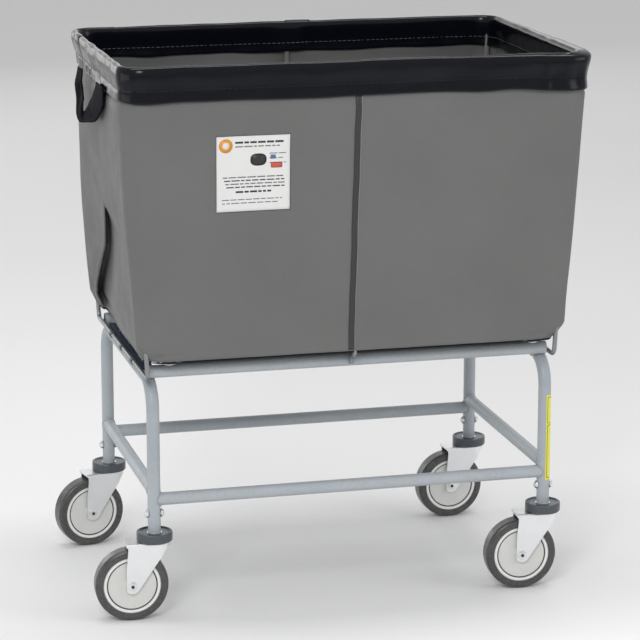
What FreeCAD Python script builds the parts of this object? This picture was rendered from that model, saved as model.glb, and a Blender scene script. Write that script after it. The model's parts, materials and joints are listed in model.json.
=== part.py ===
import FreeCAD, Part
import math
import os

# Laundry cart: a bent-tube truck on four swivel casters that carries a sewn vinyl basket.
# Millimetres. +X runs along the length, +Y to the rear, +Z up.
# The origin is on the floor, under the middle of the tube frame.

# ---- driving dimensions -------------------------------------------------------------------
WHEEL_R = 63.5              # five-inch wheel
LEG_X = 350.75              # leg axes, half the length between them
LEG_Y = 221.5               # leg axes, half the width between them
TUBE_R = 11.1               # seven-eighths tube
TUBE_WALL = 1.6
ROD_R = 4.0                 # basket stays and rim rod
RIM_X = 406.0               # outside of the band, half length
RIM_Y = 265.0               # outside of the band, half width
RIM_Z = 962.0               # top of the band
RIM_CORNER = 45.0
TOUCH = 0.05                # gap left between pieces that are welded or rest on each other

# ---- tube frame ---------------------------------------------------------------------------
LEG_BOTTOM_Z = 153.5
HOOP_TOP_Z = 416.0
HOOP_BEND = 50.0
LOWER_RAIL_Z = 211.5
CROSSBAR_Z = 226.8
TOP_RAIL_HALF = 357.0
TOP_RAIL_ANGLE = 66.0       # where the top rail sits on the hoop's shoulder, from level
LEG_BOLT_Z = 187.0
BOLT_R = 4.0
BOLT_HOLE_R = 4.05
BOLT_HEAD_R = 7.5
BOLT_HEAD_H = 6.5

# ---- basket floor grid --------------------------------------------------------------------
BAR_INNER_X = 338.0
BAR_OUTER_X = 356.0
BAR_HALF_Y = 165.0
BAR_THICK = 4.75
GRID_ROD_R = 3.0
GRID_ROD_HALF = 350.0
GRID_ROD_YS = (-92.0, 0.0, 92.0)

# ---- stays --------------------------------------------------------------------------------
STAY_BASE_X = 361.3
STAY_BASE_Y = 237.0
STAY_BASE_Z = 426.9
STAY_BEND = 12.0
CENTRE_STAY_BEND = 8.0
CORNER_STAY_DROP = 0.25     # the corner stays lean, so their ends stop this much lower
CLIP_YS = (-100.0, 0.0, 100.0)
CLIP_HALF = 6.0
CLIP_R = 5.8

# ---- basket -------------------------------------------------------------------------------
BAND_THICK = 2.0
BAND_BOTTOM_Z = 902.0
BAND_INSIDE_BOTTOM_Z = 905.0
BAND_INSIDE_OFFSET = 15.3   # from the band's outside to the outer face of its inside leg
LINER_THICK = 2.0
LINER_TOP_Z = 950.0
LINER_TOP_OFFSET = 2.3      # from the band's outside to the liner's outside
STAY_HOLE_R = 4.5
# Outside of the liner from the floor up: height, half length, half width, corner radius.
# The third level is the bottom fold; its corners are cut back, so they lift off the frame.
LINER_LEVELS = (
    (438.2, 310.0, 176.0, 22.0),
    (446.0, 338.0, 197.0, 30.0),
    (458.0, 368.0, 246.5, 42.0),
    (482.0, 379.0, 247.4, 22.0),
    (700.0, 395.0, 255.0, 36.0),
)
LINER_FOLD_Z = 458.0

# ---- label, sticker and handles -----------------------------------------------------------
LABEL_X = (-245.0, -117.0)
LABEL_Z = (712.0, 842.0)
LABEL_THICK = 0.6
STICKER_Z = (197.0, 352.0)
STICKER_HALF_ANGLE = 65.0
STICKER_TURN = -24.0         # middle of the sticker round the leg, from +X
STICKER_THICK = 0.3
HANDLE_Y = 30.0             # middle of the strap handle along the end wall
HANDLE_OUTER = 125.0
HANDLE_INNER = 75.0
HANDLE_TOP_Z = 900.5
HANDLE_BOTTOM_Z = 810.0
HANDLE_INNER_Z = 850.0
HANDLE_X = (405.0, 408.0)

# ---- casters ------------------------------------------------------------------------------
TRAIL = 41.5                # from the swivel axis back to the wheel axle
# Swivel angle of each caster at rest, in degrees about +Z from trailing straight back to -X.
CASTERS = {
    "front_left": (-LEG_X, -LEG_Y, -3.0),
    "front_right": (LEG_X, -LEG_Y, -3.0),
    "rear_left": (-LEG_X, LEG_Y, 11.5),
    "rear_right": (LEG_X, LEG_Y, 3.0),
}
CROWN_Z = 134.5             # underside of the fork's crown
CROWN_THICK = 4.0
FORK_HALF_GAP = 18.0
FORK_PLATE = 3.0
FORK_TIP_R = 13.0
FORK_NOSE_X = 6.0
FORK_BACK_X = -51.5
KINGPIN_R = 6.0
KINGPIN_HOLE_R = 6.06
KINGPIN_HEAD_R = 10.0
STEM_R = 9.4
STEM_TOP_Z = 232.0
FLANGE_R = 13.0
CAP_R = 31.0
CAP_Z = (138.7, 152.0)
DISH_TOP_Z = 155.0
TYRE_HALF = 16.0
HUB_R = 50.0
AXLE_R = 5.0
BUSH_BORE_R = 5.06
BUSH_R = 7.0
BUSH_HALF = 17.5


def vec(x, y, z):
    return FreeCAD.Vector(x, y, z)


X_DIR = vec(1, 0, 0)
Y_DIR = vec(0, 1, 0)
Z_DIR = vec(0, 0, 1)


def save(name, *solids):
    shape = solids[0] if len(solids) == 1 else Part.makeCompound(list(solids))
    shape.exportStep("parts/" + name + ".step")


def cylinder(r, start, end):
    run = end - start
    return Part.makeCylinder(r, run.Length, start, run)


def box(low, high):
    size = high - low
    return Part.makeBox(size.x, size.y, size.z, low)


def rod_path(points, bend):
    """A wire of straight runs through points, joined by tangent arcs of radius bend."""
    edges = []
    start = points[0]
    for before, corner, after in zip(points, points[1:], points[2:]):
        into = (before - corner).normalize()
        out = (after - corner).normalize()
        half = into.getAngle(out) / 2
        reach = bend / math.tan(half)
        first = corner + into * reach
        last = corner + out * reach
        middle_dir = (into + out).normalize()
        middle = corner + middle_dir * (bend / math.sin(half) - bend)
        edges.append(Part.LineSegment(start, first).toShape())
        edges.append(Part.Arc(first, middle, last).toShape())
        start = last
    edges.append(Part.LineSegment(start, points[-1]).toShape())
    return Part.Wire(edges)


def bent_rod(points, bend, r):
    """A round rod that follows rod_path."""
    circle = Part.Circle(points[0], points[1] - points[0], r).toShape()
    return rod_path(points, bend).makePipeShell([Part.Wire(circle)], True, False)


def rounded_outline(half_x, half_y, corner, z):
    """Outline of a rectangle with round corners, centred on the Z axis at height z."""
    edges = []
    turn = ((1, 1), (-1, 1), (-1, -1), (1, -1))
    for k, (sx, sy) in enumerate(turn):
        centre = vec(sx * (half_x - corner), sy * (half_y - corner), z)
        angles = [math.radians(90 * k + a) for a in (0, 45, 90)]
        arc = [centre + vec(math.cos(a), math.sin(a), 0) * corner for a in angles]
        edges.append(Part.Arc(*arc).toShape())
        nx, ny = turn[(k + 1) % 4]
        next_centre = vec(nx * (half_x - corner), ny * (half_y - corner), z)
        a = math.radians(90 * (k + 1))
        edges.append(
            Part.LineSegment(arc[2], next_centre + vec(math.cos(a), math.sin(a), 0) * corner).toShape()
        )
    return Part.Wire(edges)


def rounded_prism(offset, low_z, high_z):
    """A prism whose outline lies offset inside the band's outside."""
    outline = rounded_outline(RIM_X - offset, RIM_Y - offset, RIM_CORNER - offset, low_z)
    return Part.Face(outline).extrude(vec(0, 0, high_z - low_z))


def turned(profile, axis_point, axis):
    """A solid of revolution from a closed list of points."""
    face = Part.Face(Part.makePolygon(profile + [profile[0]]))
    return face.revolve(axis_point, axis, 360)


# ---- tube frame ---------------------------------------------------------------------------

def end_hoop(x):
    """Two legs and the bar across their tops, one bent tube."""
    points = [
        vec(x, -LEG_Y, LEG_BOTTOM_Z),
        vec(x, -LEG_Y, HOOP_TOP_Z),
        vec(x, LEG_Y, HOOP_TOP_Z),
        vec(x, LEG_Y, LEG_BOTTOM_Z),
    ]
    hoop = bent_rod(points, HOOP_BEND, TUBE_R).cut(bent_rod(points, HOOP_BEND, TUBE_R - TUBE_WALL))
    for y in (-LEG_Y, LEG_Y):
        reach = vec(2 * TUBE_R, 0, 0)
        at = vec(x, y, LEG_BOLT_Z)
        hoop = hoop.cut(cylinder(BOLT_HOLE_R, at - reach, at + reach))
    return hoop


def straight_tube(start, end):
    return cylinder(TUBE_R, start, end).cut(cylinder(TUBE_R - TUBE_WALL, start, end))


def coped(tube):
    """Saddle-cuts the ends of a tube so that they seat on the legs."""
    for x in (-LEG_X, LEG_X):
        for y in (-LEG_Y, LEG_Y):
            leg = cylinder(TUBE_R + TOUCH, vec(x, y, LEG_BOTTOM_Z), vec(x, y, HOOP_TOP_Z))
            tube = tube.cut(leg)
    solids = sorted(tube.Solids, key=lambda s: s.Volume)
    return solids[-1]


def top_rail_centre():
    """Where a top rail lies, tangent to the outside of the hoops' bend."""
    reach = HOOP_BEND + 2 * TUBE_R + TOUCH
    a = math.radians(TOP_RAIL_ANGLE)
    y = LEG_Y - HOOP_BEND + reach * math.cos(a)
    z = HOOP_TOP_Z - HOOP_BEND + reach * math.sin(a)
    return y, z


TOP_RAIL_Y, TOP_RAIL_Z = top_rail_centre()


def tube_frame():
    for name, side in (("left", -1), ("right", 1)):
        save(name + "_end_hoop", end_hoop(side * LEG_X))
    lower_rails = []
    for name, side in (("front", -1), ("rear", 1)):
        y = side * LEG_Y
        rail = coped(straight_tube(vec(-LEG_X, y, LOWER_RAIL_Z), vec(LEG_X, y, LOWER_RAIL_Z)))
        lower_rails.append(rail)
        save(name + "_lower_rail", rail)
        y = side * TOP_RAIL_Y
        ends = [vec(x, y, TOP_RAIL_Z) for x in (-TOP_RAIL_HALF, TOP_RAIL_HALF)]
        save(name + "_top_rail", straight_tube(*ends))
    crossbars = {}
    for name, side in (("left", -1), ("right", 1)):
        x = side * LEG_X
        bar = coped(straight_tube(vec(x, -LEG_Y, CROSSBAR_Z), vec(x, LEG_Y, CROSSBAR_Z)))
        for rail in lower_rails:
            bar = bar.cut(rail)
        crossbars[name] = bar.Solids[0]
        save(name + "_lower_crossbar", crossbars[name])
    return crossbars


def rail_plugs():
    """Plastic plugs in the open ends of the top rails."""
    plugs = []
    shank_r = TUBE_R - TUBE_WALL - TOUCH
    for sx in (-1, 1):
        for sy in (-1, 1):
            at = vec(sx * TOP_RAIL_HALF, sy * TOP_RAIL_Y, TOP_RAIL_Z)
            shank = cylinder(shank_r, at - vec(sx * 12.0, 0, 0), at + vec(sx * 0.6, 0, 0))
            # The face stops short of the stay that runs across the tube's end.
            plugs.append(shank.cut(stay_run(sx, ROD_R + TOUCH)))
    save("rail_plugs", *plugs)


# ---- floor grid and stays -----------------------------------------------------------------

BAR_BOTTOM_Z = HOOP_TOP_Z + TUBE_R + TOUCH
BAR_TOP_Z = BAR_BOTTOM_Z + BAR_THICK
GRID_ROD_Z = BAR_TOP_Z + TOUCH + GRID_ROD_R


def floor_grid():
    bars = []
    for side in (-1, 1):
        xs = sorted((side * BAR_INNER_X, side * BAR_OUTER_X))
        bars.append(box(vec(xs[0], -BAR_HALF_Y, BAR_BOTTOM_Z), vec(xs[1], BAR_HALF_Y, BAR_TOP_Z)))
    save("floor_end_bars", *bars)
    rods = []
    for y in GRID_ROD_YS:
        ends = [vec(x, y, GRID_ROD_Z) for x in (-GRID_ROD_HALF, GRID_ROD_HALF)]
        rods.append(cylinder(GRID_ROD_R, *ends))
    save("floor_rods", *rods)


# The rim rod's centreline, inside the band and the liner.
RIM_ROD_OFFSET = LINER_TOP_OFFSET + LINER_THICK + 0.15 + ROD_R
RIM_ROD_X = RIM_X - RIM_ROD_OFFSET
RIM_ROD_Y = RIM_Y - RIM_ROD_OFFSET
RIM_ROD_CORNER = RIM_CORNER - RIM_ROD_OFFSET
RIM_ROD_Z = RIM_Z - BAND_THICK - ROD_R - 0.5
STAY_TOP_Z = RIM_ROD_Z - ROD_R - TOUCH


def rim_rod():
    """A closed loop of rod with round corners."""
    straight_x = RIM_ROD_X - RIM_ROD_CORNER
    straight_y = RIM_ROD_Y - RIM_ROD_CORNER
    pieces = []
    for side in (-1, 1):
        y = side * RIM_ROD_Y
        pieces.append(cylinder(ROD_R, vec(-straight_x, y, RIM_ROD_Z), vec(straight_x, y, RIM_ROD_Z)))
        x = side * RIM_ROD_X
        pieces.append(cylinder(ROD_R, vec(x, -straight_y, RIM_ROD_Z), vec(x, straight_y, RIM_ROD_Z)))
    for k, (sx, sy) in enumerate(((1, 1), (-1, 1), (-1, -1), (1, -1))):
        corner = Part.makeTorus(RIM_ROD_CORNER, ROD_R, vec(0, 0, 0), Z_DIR, 0, 360, 90)
        corner.rotate(vec(0, 0, 0), Z_DIR, 90 * k)
        corner.translate(vec(sx * straight_x, sy * straight_y, RIM_ROD_Z))
        pieces.append(corner)
    loop = pieces[0].fuse(pieces[1:])
    save("rim_rod", loop.Solids[0])


def stay_points(side):
    """A corner stay: up one corner, across the end under the basket, up the other corner."""
    reach = RIM_ROD_CORNER * math.sqrt(0.5)
    top_x = side * (RIM_ROD_X - RIM_ROD_CORNER + reach)
    top_y = RIM_ROD_Y - RIM_ROD_CORNER + reach
    top_z = STAY_TOP_Z - CORNER_STAY_DROP
    base_x = side * STAY_BASE_X
    return [
        vec(top_x, -top_y, top_z),
        vec(base_x, -STAY_BASE_Y, STAY_BASE_Z),
        vec(base_x, STAY_BASE_Y, STAY_BASE_Z),
        vec(top_x, top_y, top_z),
    ]


def centre_stay_points(side):
    """A centre stay: down the middle of a long side, then in and onto the top rail."""
    rail_face = TOP_RAIL_Y + TUBE_R + ROD_R + TOUCH
    return [
        vec(0, side * RIM_ROD_Y, STAY_TOP_Z),
        vec(0, side * 239.4, 450.5),
        vec(0, side * rail_face, 440.0),
        vec(0, side * rail_face, 428.5),
    ]


def stay_run(side, r):
    """The part of a corner stay that runs across the end of the frame."""
    x = side * STAY_BASE_X
    return cylinder(r, vec(x, -STAY_BASE_Y, STAY_BASE_Z), vec(x, STAY_BASE_Y, STAY_BASE_Z))


def stays():
    for name, side in (("left", -1), ("right", 1)):
        save(name + "_corner_stay", bent_rod(stay_points(side), STAY_BEND, ROD_R))
    for name, side in (("front", -1), ("rear", 1)):
        save(name + "_centre_stay", bent_rod(centre_stay_points(side), CENTRE_STAY_BEND, ROD_R))


def stay_clips():
    """Short saddles that hold the corner stays on the hoops."""
    clips = []
    for side in (-1, 1):
        hoop_top = cylinder(
            TUBE_R + TOUCH,
            vec(side * LEG_X, -LEG_Y, HOOP_TOP_Z),
            vec(side * LEG_X, LEG_Y, HOOP_TOP_Z),
        )
        for y in CLIP_YS:
            ends = [vec(side * STAY_BASE_X, y + s * CLIP_HALF, STAY_BASE_Z) for s in (-1, 1)]
            clip = cylinder(CLIP_R, *ends).cut(cylinder(ROD_R + TOUCH, *ends)).cut(hoop_top)
            limit = side * (BAR_OUTER_X + 0.2)
            far = side * (STAY_BASE_X + 20)
            low_x, high_x = sorted((limit, far))
            clip = clip.common(box(vec(low_x, y - 20, 400), vec(high_x, y + 20, 450)))
            clips.append(max(clip.Solids, key=lambda s: s.Volume))
    save("stay_clips", *clips)


# ---- basket -------------------------------------------------------------------------------

def liner_levels():
    """All levels of the liner's outside, from its floor to its top edge."""
    top = (RIM_X - LINER_TOP_OFFSET, RIM_Y - LINER_TOP_OFFSET, RIM_CORNER - LINER_TOP_OFFSET)
    return list(LINER_LEVELS) + [(BAND_BOTTOM_Z,) + top, (LINER_TOP_Z,) + top]


def liner():
    """The sewn basket: a floor and four walls that lean out to the rim."""
    outside = []
    inside = []
    levels = liner_levels()
    for z, hx, hy, corner in levels:
        outside.append(rounded_outline(hx, hy, corner, z))
    for k, (z, hx, hy, corner) in enumerate(levels):
        lift = LINER_THICK if z <= LINER_FOLD_Z else 0.0
        if k == len(levels) - 1:
            lift = 1.0
        inside.append(
            rounded_outline(hx - LINER_THICK, hy - LINER_THICK, corner - LINER_THICK, z + lift)
        )
    basket = Part.makeLoft(outside, True, True).cut(Part.makeLoft(inside, True, True))
    # The stays leave the basket through its bottom edge.
    for side in (-1, 1):
        points = stay_points(side)
        for high, low in ((points[0], points[1]), (points[3], points[2])):
            run = (high - low).normalize()
            basket = basket.cut(cylinder(STAY_HOLE_R, low - run * 20, low + run * 62))
        points = centre_stay_points(side)
        run = (points[0] - points[1]).normalize()
        basket = basket.cut(cylinder(STAY_HOLE_R, points[1] - run * 5, points[1] + run * 34))
    save("liner", max(basket.Solids, key=lambda s: s.Volume))


def rim_band():
    """The gloss band: a folded strip over the rim rod, outside and inside the basket."""
    outside_leg = rounded_prism(0, BAND_BOTTOM_Z, RIM_Z).cut(
        rounded_prism(BAND_THICK, BAND_BOTTOM_Z, RIM_Z)
    )
    inner = BAND_INSIDE_OFFSET + BAND_THICK
    inside_leg = rounded_prism(BAND_INSIDE_OFFSET, BAND_INSIDE_BOTTOM_Z, RIM_Z).cut(
        rounded_prism(inner, BAND_INSIDE_BOTTOM_Z, RIM_Z)
    )
    top = rounded_prism(0, RIM_Z - BAND_THICK, RIM_Z).cut(rounded_prism(inner, RIM_Z - BAND_THICK, RIM_Z))
    band = outside_leg.fuse([inside_leg, top]).removeSplitter()
    save("rim_band", band.Solids[0])


def wall_y(z):
    """Outside of the front wall at height z, above the bottom edge."""
    levels = liner_levels()
    for (z0, _, y0, _), (z1, _, y1, _) in zip(levels, levels[1:]):
        if z0 <= z <= z1:
            return -(y0 + (y1 - y0) * (z - z0) / (z1 - z0))
    raise ValueError("height outside the wall")


def label():
    """A plain card that lies on the front wall."""
    low_z, high_z = LABEL_Z
    near = TOUCH
    far = TOUCH + LABEL_THICK
    section = [
        vec(LABEL_X[0], wall_y(low_z) - near, low_z),
        vec(LABEL_X[0], wall_y(high_z) - near, high_z),
        vec(LABEL_X[0], wall_y(high_z) - far, high_z),
        vec(LABEL_X[0], wall_y(low_z) - far, low_z),
    ]
    face = Part.Face(Part.makePolygon(section + [section[0]]))
    save("front_label", face.extrude(vec(LABEL_X[1] - LABEL_X[0], 0, 0)))


def strap_handle(side):
    """A U of strap that hangs from under the band at one end."""
    low_x, high_x = sorted((side * HANDLE_X[0], side * HANDLE_X[1]))
    outer = box(
        vec(low_x, HANDLE_Y - HANDLE_OUTER, HANDLE_BOTTOM_Z),
        vec(high_x, HANDLE_Y + HANDLE_OUTER, HANDLE_TOP_Z),
    )
    low_edges = [
        e for e in outer.Edges
        if abs(e.BoundBox.ZMax - HANDLE_BOTTOM_Z) < 1e-6 and e.BoundBox.YLength < 1e-6
    ]
    outer = outer.makeFillet(45.0, low_edges)
    inner = box(
        vec(low_x - 1, HANDLE_Y - HANDLE_INNER, HANDLE_INNER_Z),
        vec(high_x + 1, HANDLE_Y + HANDLE_INNER, HANDLE_TOP_Z + 1),
    )
    low_edges = [
        e for e in inner.Edges
        if abs(e.BoundBox.ZMax - HANDLE_INNER_Z) < 1e-6 and e.BoundBox.YLength < 1e-6
    ]
    return outer.cut(inner.makeFillet(28.0, low_edges))


def leg_sticker(crossbar):
    """A strip that wraps the outer side of the front right leg."""
    low_z, high_z = STICKER_Z
    at = vec(LEG_X, -LEG_Y, low_z)
    height = high_z - low_z
    inner_r = TUBE_R + TOUCH
    ring = Part.makeCylinder(inner_r + STICKER_THICK, height, at, Z_DIR, 2 * STICKER_HALF_ANGLE)
    ring.rotate(at, Z_DIR, STICKER_TURN - STICKER_HALF_ANGLE)
    ring = ring.cut(Part.makeCylinder(inner_r, height, at, Z_DIR))
    ring = ring.cut(crossbar)
    save("leg_sticker", max(ring.Solids, key=lambda s: s.Volume))


# ---- fasteners ----------------------------------------------------------------------------

def dome(base, direction, r, height):
    """A low cap of a sphere on a short round land."""
    land = 1.5
    rise = height - land
    ball_r = (r * r + rise * rise) / (2 * rise)
    centre = base + direction * (height - ball_r)
    blank = cylinder(r, base, base + direction * height)
    return blank.common(Part.makeSphere(ball_r, centre))


def leg_fasteners():
    """A bolt through each leg and caster stem, with an acorn nut on the inner side."""
    bolts = []
    nuts = []
    seat = TUBE_R + TOUCH
    for x, y, _ in CASTERS.values():
        out = vec(1 if x > 0 else -1, 0, 0)
        at = vec(x, y, LEG_BOLT_Z)
        shank = cylinder(BOLT_R, at - out * (seat + 4.0), at + out * seat)
        # The round tube touches the head's flat face along a line, so the head starts there.
        head = dome(at + out * seat, out, BOLT_HEAD_R, BOLT_HEAD_H)
        bolts.append(shank.fuse(head).removeSplitter())
        nut = dome(at - out * seat, out * -1, BOLT_HEAD_R, BOLT_HEAD_H)
        bore = cylinder(BOLT_R + TOUCH, at, at - out * (seat + 4.0 + TOUCH))
        nuts.append(nut.cut(bore))
    save("leg_bolts", *bolts)
    save("leg_acorn_nuts", *nuts)


# ---- casters ------------------------------------------------------------------------------
# Each caster piece is made with its swivel axis on Z and its wheel trailing to -X.

def caster_stem():
    """Kingpin, flange and the stem that fills the leg, one turned piece."""
    pieces = [
        cylinder(KINGPIN_HEAD_R, vec(0, 0, 129.0), vec(0, 0, CROWN_Z - 0.1)),
        cylinder(KINGPIN_R, vec(0, 0, 129.0), vec(0, 0, LEG_BOTTOM_Z - 0.5)),
        cylinder(FLANGE_R, vec(0, 0, 150.0), vec(0, 0, LEG_BOTTOM_Z - TOUCH)),
        cylinder(STEM_R, vec(0, 0, 150.0), vec(0, 0, STEM_TOP_Z)),
    ]
    stem = pieces[0].fuse(pieces[1:]).removeSplitter()
    hole = cylinder(BOLT_HOLE_R, vec(-2 * STEM_R, 0, LEG_BOLT_Z), vec(2 * STEM_R, 0, LEG_BOLT_Z))
    return stem, hole


def swivel_bearing():
    """The steel race block between the crown and the cap."""
    low, high = vec(0, 0, CAP_Z[0]), vec(0, 0, 149.2)
    return cylinder(24.5, low, high).cut(cylinder(KINGPIN_R + TOUCH, low, high))


def swivel_cap():
    """A plastic cup that covers the swivel bearing."""
    low_z, high_z = CAP_Z
    roof_z = 149.4
    profile = [
        vec(25.0, 0, low_z),
        vec(29.6, 0, low_z),
        vec(CAP_R, 0, low_z + 1.8),
        vec(CAP_R, 0, high_z),
        vec(FLANGE_R + 0.2, 0, high_z),
        vec(FLANGE_R + 0.2, 0, roof_z),
        vec(25.0, 0, roof_z),
    ]
    return turned(profile, vec(0, 0, 0), Z_DIR)


def swivel_dish():
    """A shallow dished washer on top of the cap, around the leg."""
    low_z = CAP_Z[1] + TOUCH
    bore_r = FLANGE_R + 0.3
    profile = [
        vec(bore_r, 0, low_z),
        vec(CAP_R - 0.2, 0, low_z),
        vec(CAP_R - 0.2, 0, DISH_TOP_Z - 0.6),
        vec(CAP_R - 0.9, 0, DISH_TOP_Z),
        vec(CAP_R - 2.0, 0, DISH_TOP_Z),
        vec(CAP_R - 7.0, 0, low_z + 1.0),
        vec(bore_r, 0, low_z + 0.8),
    ]
    return turned(profile, vec(0, 0, 0), Z_DIR)


def stadium(half_width, low_z, high_z, back_x):
    """A block with flat sides and a round nose, open to nothing, in the fork's plan."""
    block = box(vec(back_x, -half_width, low_z), vec(FORK_NOSE_X, half_width, high_z))
    nose = cylinder(half_width, vec(FORK_NOSE_X, 0, low_z), vec(FORK_NOSE_X, 0, high_z))
    return block.fuse(nose).removeSplitter()


def caster_fork():
    """A pressed fork: a crown, a round nose and two side plates that narrow to the axle."""
    outer_half = FORK_HALF_GAP + FORK_PLATE
    top_z = CROWN_Z + CROWN_THICK
    low_z = WHEEL_R - 2 * FORK_TIP_R
    shell = stadium(outer_half, low_z, top_z, FORK_BACK_X)
    crown_edges = [
        e for e in shell.Edges
        if e.BoundBox.ZMin > top_z - 1e-6 and e.BoundBox.XMax > FORK_BACK_X + 1
        and not (e.BoundBox.XLength < 1e-6)
    ]
    shell = shell.makeFillet(3.5, crown_edges)
    shell = shell.cut(stadium(FORK_HALF_GAP, low_z - 1, CROWN_Z, FORK_BACK_X - 10))
    # Side view: crown on top, the back edge nearly upright, the front edge slanting to the tip.
    tip = vec(-TRAIL, -60, WHEEL_R)
    corners = [
        (FORK_BACK_X, top_z + 1),
        (FORK_BACK_X, CROWN_Z),
        (-48.0, CROWN_Z - 4.0),
        (-TRAIL - FORK_TIP_R, WHEEL_R),
        (-TRAIL, WHEEL_R),
        (-TRAIL + FORK_TIP_R * 0.826, WHEEL_R - FORK_TIP_R * 0.563),
        (19.0, 128.0),
        (30.0, CROWN_Z),
        (30.0, top_z + 1),
    ]
    side = Part.makePolygon([vec(x, -60, z) for x, z in corners + [corners[0]]])
    mask = Part.Face(side).extrude(vec(0, 120, 0))
    mask = mask.fuse(cylinder(FORK_TIP_R, tip, tip + vec(0, 120, 0)))
    fork = shell.common(mask)
    axle = cylinder(AXLE_R + 0.03, tip, tip + vec(0, 120, 0))
    kingpin = cylinder(KINGPIN_HOLE_R, vec(0, 0, CROWN_Z - 5), vec(0, 0, top_z + 5))
    return fork.cut(axle).cut(kingpin).removeSplitter()


def caster_axle():
    """A rivet through the fork with a low dished head on each side."""
    half = FORK_HALF_GAP + FORK_PLATE
    centre = vec(-TRAIL, 0, WHEEL_R)
    shaft = cylinder(AXLE_R, centre - Y_DIR * (half + 0.5), centre + Y_DIR * (half + 0.5))
    pieces = []
    for side in (-1, 1):
        out = vec(0, side, 0)
        pieces.append(dome(centre + out * (half + TOUCH), out, 8.0, 2.6))
    axle = shaft.fuse(pieces)
    for side in (-1, 1):
        out = vec(0, side, 0)
        axle = axle.cut(cylinder(2.2, centre + out * (half - 2.0), centre + out * (half + 5.0)))
    return axle.removeSplitter()


def wheel_hub():
    """A moulded wheel centre with a raised rim ring, a groove and a boss, on the Y axis."""
    half_profile = [
        (BUSH_R + 0.03, 16.6),
        (12.5, 16.6),
        (14.0, 14.2),
        (41.6, 14.2),
        (43.0, 12.4),
        (44.2, 15.2),
        (49.0, 15.2),
        (HUB_R, 14.4),
    ]
    profile = [vec(r, -y, 0) for r, y in half_profile]
    profile += [vec(r, y, 0) for r, y in reversed(half_profile)]
    hub = turned(profile, vec(0, 0, 0), Y_DIR)
    hub.translate(vec(-TRAIL, 0, WHEEL_R))
    return hub


def wheel_tyre():
    centre = vec(-TRAIL, 0, WHEEL_R)
    low = centre - Y_DIR * TYRE_HALF
    high = centre + Y_DIR * TYRE_HALF
    tyre = cylinder(WHEEL_R, low, high)
    tread_edges = [e for e in tyre.Edges if e.Length > 100 and e.BoundBox.YLength < 1e-6]
    tyre = tyre.makeFillet(6.0, tread_edges)
    tyre = tyre.cut(cylinder(HUB_R + 0.02, low, high))
    return tyre


def wheel_bush():
    centre = vec(-TRAIL, 0, WHEEL_R)
    low = centre - Y_DIR * BUSH_HALF
    high = centre + Y_DIR * BUSH_HALF
    return cylinder(BUSH_R, low, high).cut(cylinder(BUSH_BORE_R, low, high))


def casters():
    makers = {
        "swivel_cap": swivel_cap,
        "swivel_dish": swivel_dish,
        "caster_fork": caster_fork,
        "caster_axle": caster_axle,
        "wheel_hub": wheel_hub,
        "wheel_tyre": wheel_tyre,
        "wheel_bush": wheel_bush,
    }
    stem, stem_hole = caster_stem()
    stem = stem.cut(stem_hole)
    bearings = []
    for corner, (x, y, swivel) in CASTERS.items():
        place = vec(x, y, 0)
        for piece, make in makers.items():
            solid = make()
            solid.rotate(vec(0, 0, 0), Z_DIR, swivel)
            solid.translate(place)
            save(corner + "_" + piece, solid)
        # The stem's cross hole lines up with the leg's, so it doesn't turn with the fork.
        fixed = stem.copy()
        fixed.translate(place)
        save(corner + "_caster_stem", fixed)
        bearing = swivel_bearing()
        bearing.translate(place)
        bearings.append(bearing)
    save("swivel_bearings", *bearings)


# ---- the whole cart -----------------------------------------------------------------------

os.makedirs("parts", exist_ok=True)
crossbars = tube_frame()
rail_plugs()
floor_grid()
rim_rod()
stays()
stay_clips()
liner()
rim_band()
label()
leg_sticker(crossbars["right"])
save("left_handle", strap_handle(-1))
save("right_handle", strap_handle(1))
leg_fasteners()
casters()
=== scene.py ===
"""The looks of the laundry cart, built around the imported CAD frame.

Lengths in this script are millimetres in the row frame, and MM turns them into metres where a mesh,
a light or a camera is made.
"""
import json
import math

import bmesh
import bpy
import numpy as np
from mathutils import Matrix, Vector


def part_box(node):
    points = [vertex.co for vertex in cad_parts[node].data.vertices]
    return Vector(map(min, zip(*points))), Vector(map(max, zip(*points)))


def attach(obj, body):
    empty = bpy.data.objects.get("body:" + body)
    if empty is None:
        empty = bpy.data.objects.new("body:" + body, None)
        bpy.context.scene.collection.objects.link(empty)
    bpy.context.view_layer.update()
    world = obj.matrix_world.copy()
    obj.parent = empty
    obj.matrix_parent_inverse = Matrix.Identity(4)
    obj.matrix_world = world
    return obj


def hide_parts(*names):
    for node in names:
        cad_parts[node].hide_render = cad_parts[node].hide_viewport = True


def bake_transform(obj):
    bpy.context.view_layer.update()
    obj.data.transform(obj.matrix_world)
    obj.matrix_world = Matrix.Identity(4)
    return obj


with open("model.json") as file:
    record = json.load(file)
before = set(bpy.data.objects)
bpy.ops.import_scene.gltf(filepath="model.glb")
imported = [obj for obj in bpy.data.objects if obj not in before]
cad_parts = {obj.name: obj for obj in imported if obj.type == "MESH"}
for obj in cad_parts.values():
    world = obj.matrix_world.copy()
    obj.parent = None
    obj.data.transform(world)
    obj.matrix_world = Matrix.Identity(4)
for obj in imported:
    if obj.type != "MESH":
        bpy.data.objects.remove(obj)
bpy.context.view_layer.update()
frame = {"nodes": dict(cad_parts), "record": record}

MM = 0.001
TAU = 2 * math.pi


def node_box(node):
    """Lowest and highest corner of a CAD node in millimetres."""
    low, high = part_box(node)
    return np.array(low) / MM, np.array(high) / MM


# ---- driving sizes ------------------------------------------------------------------------

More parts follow.
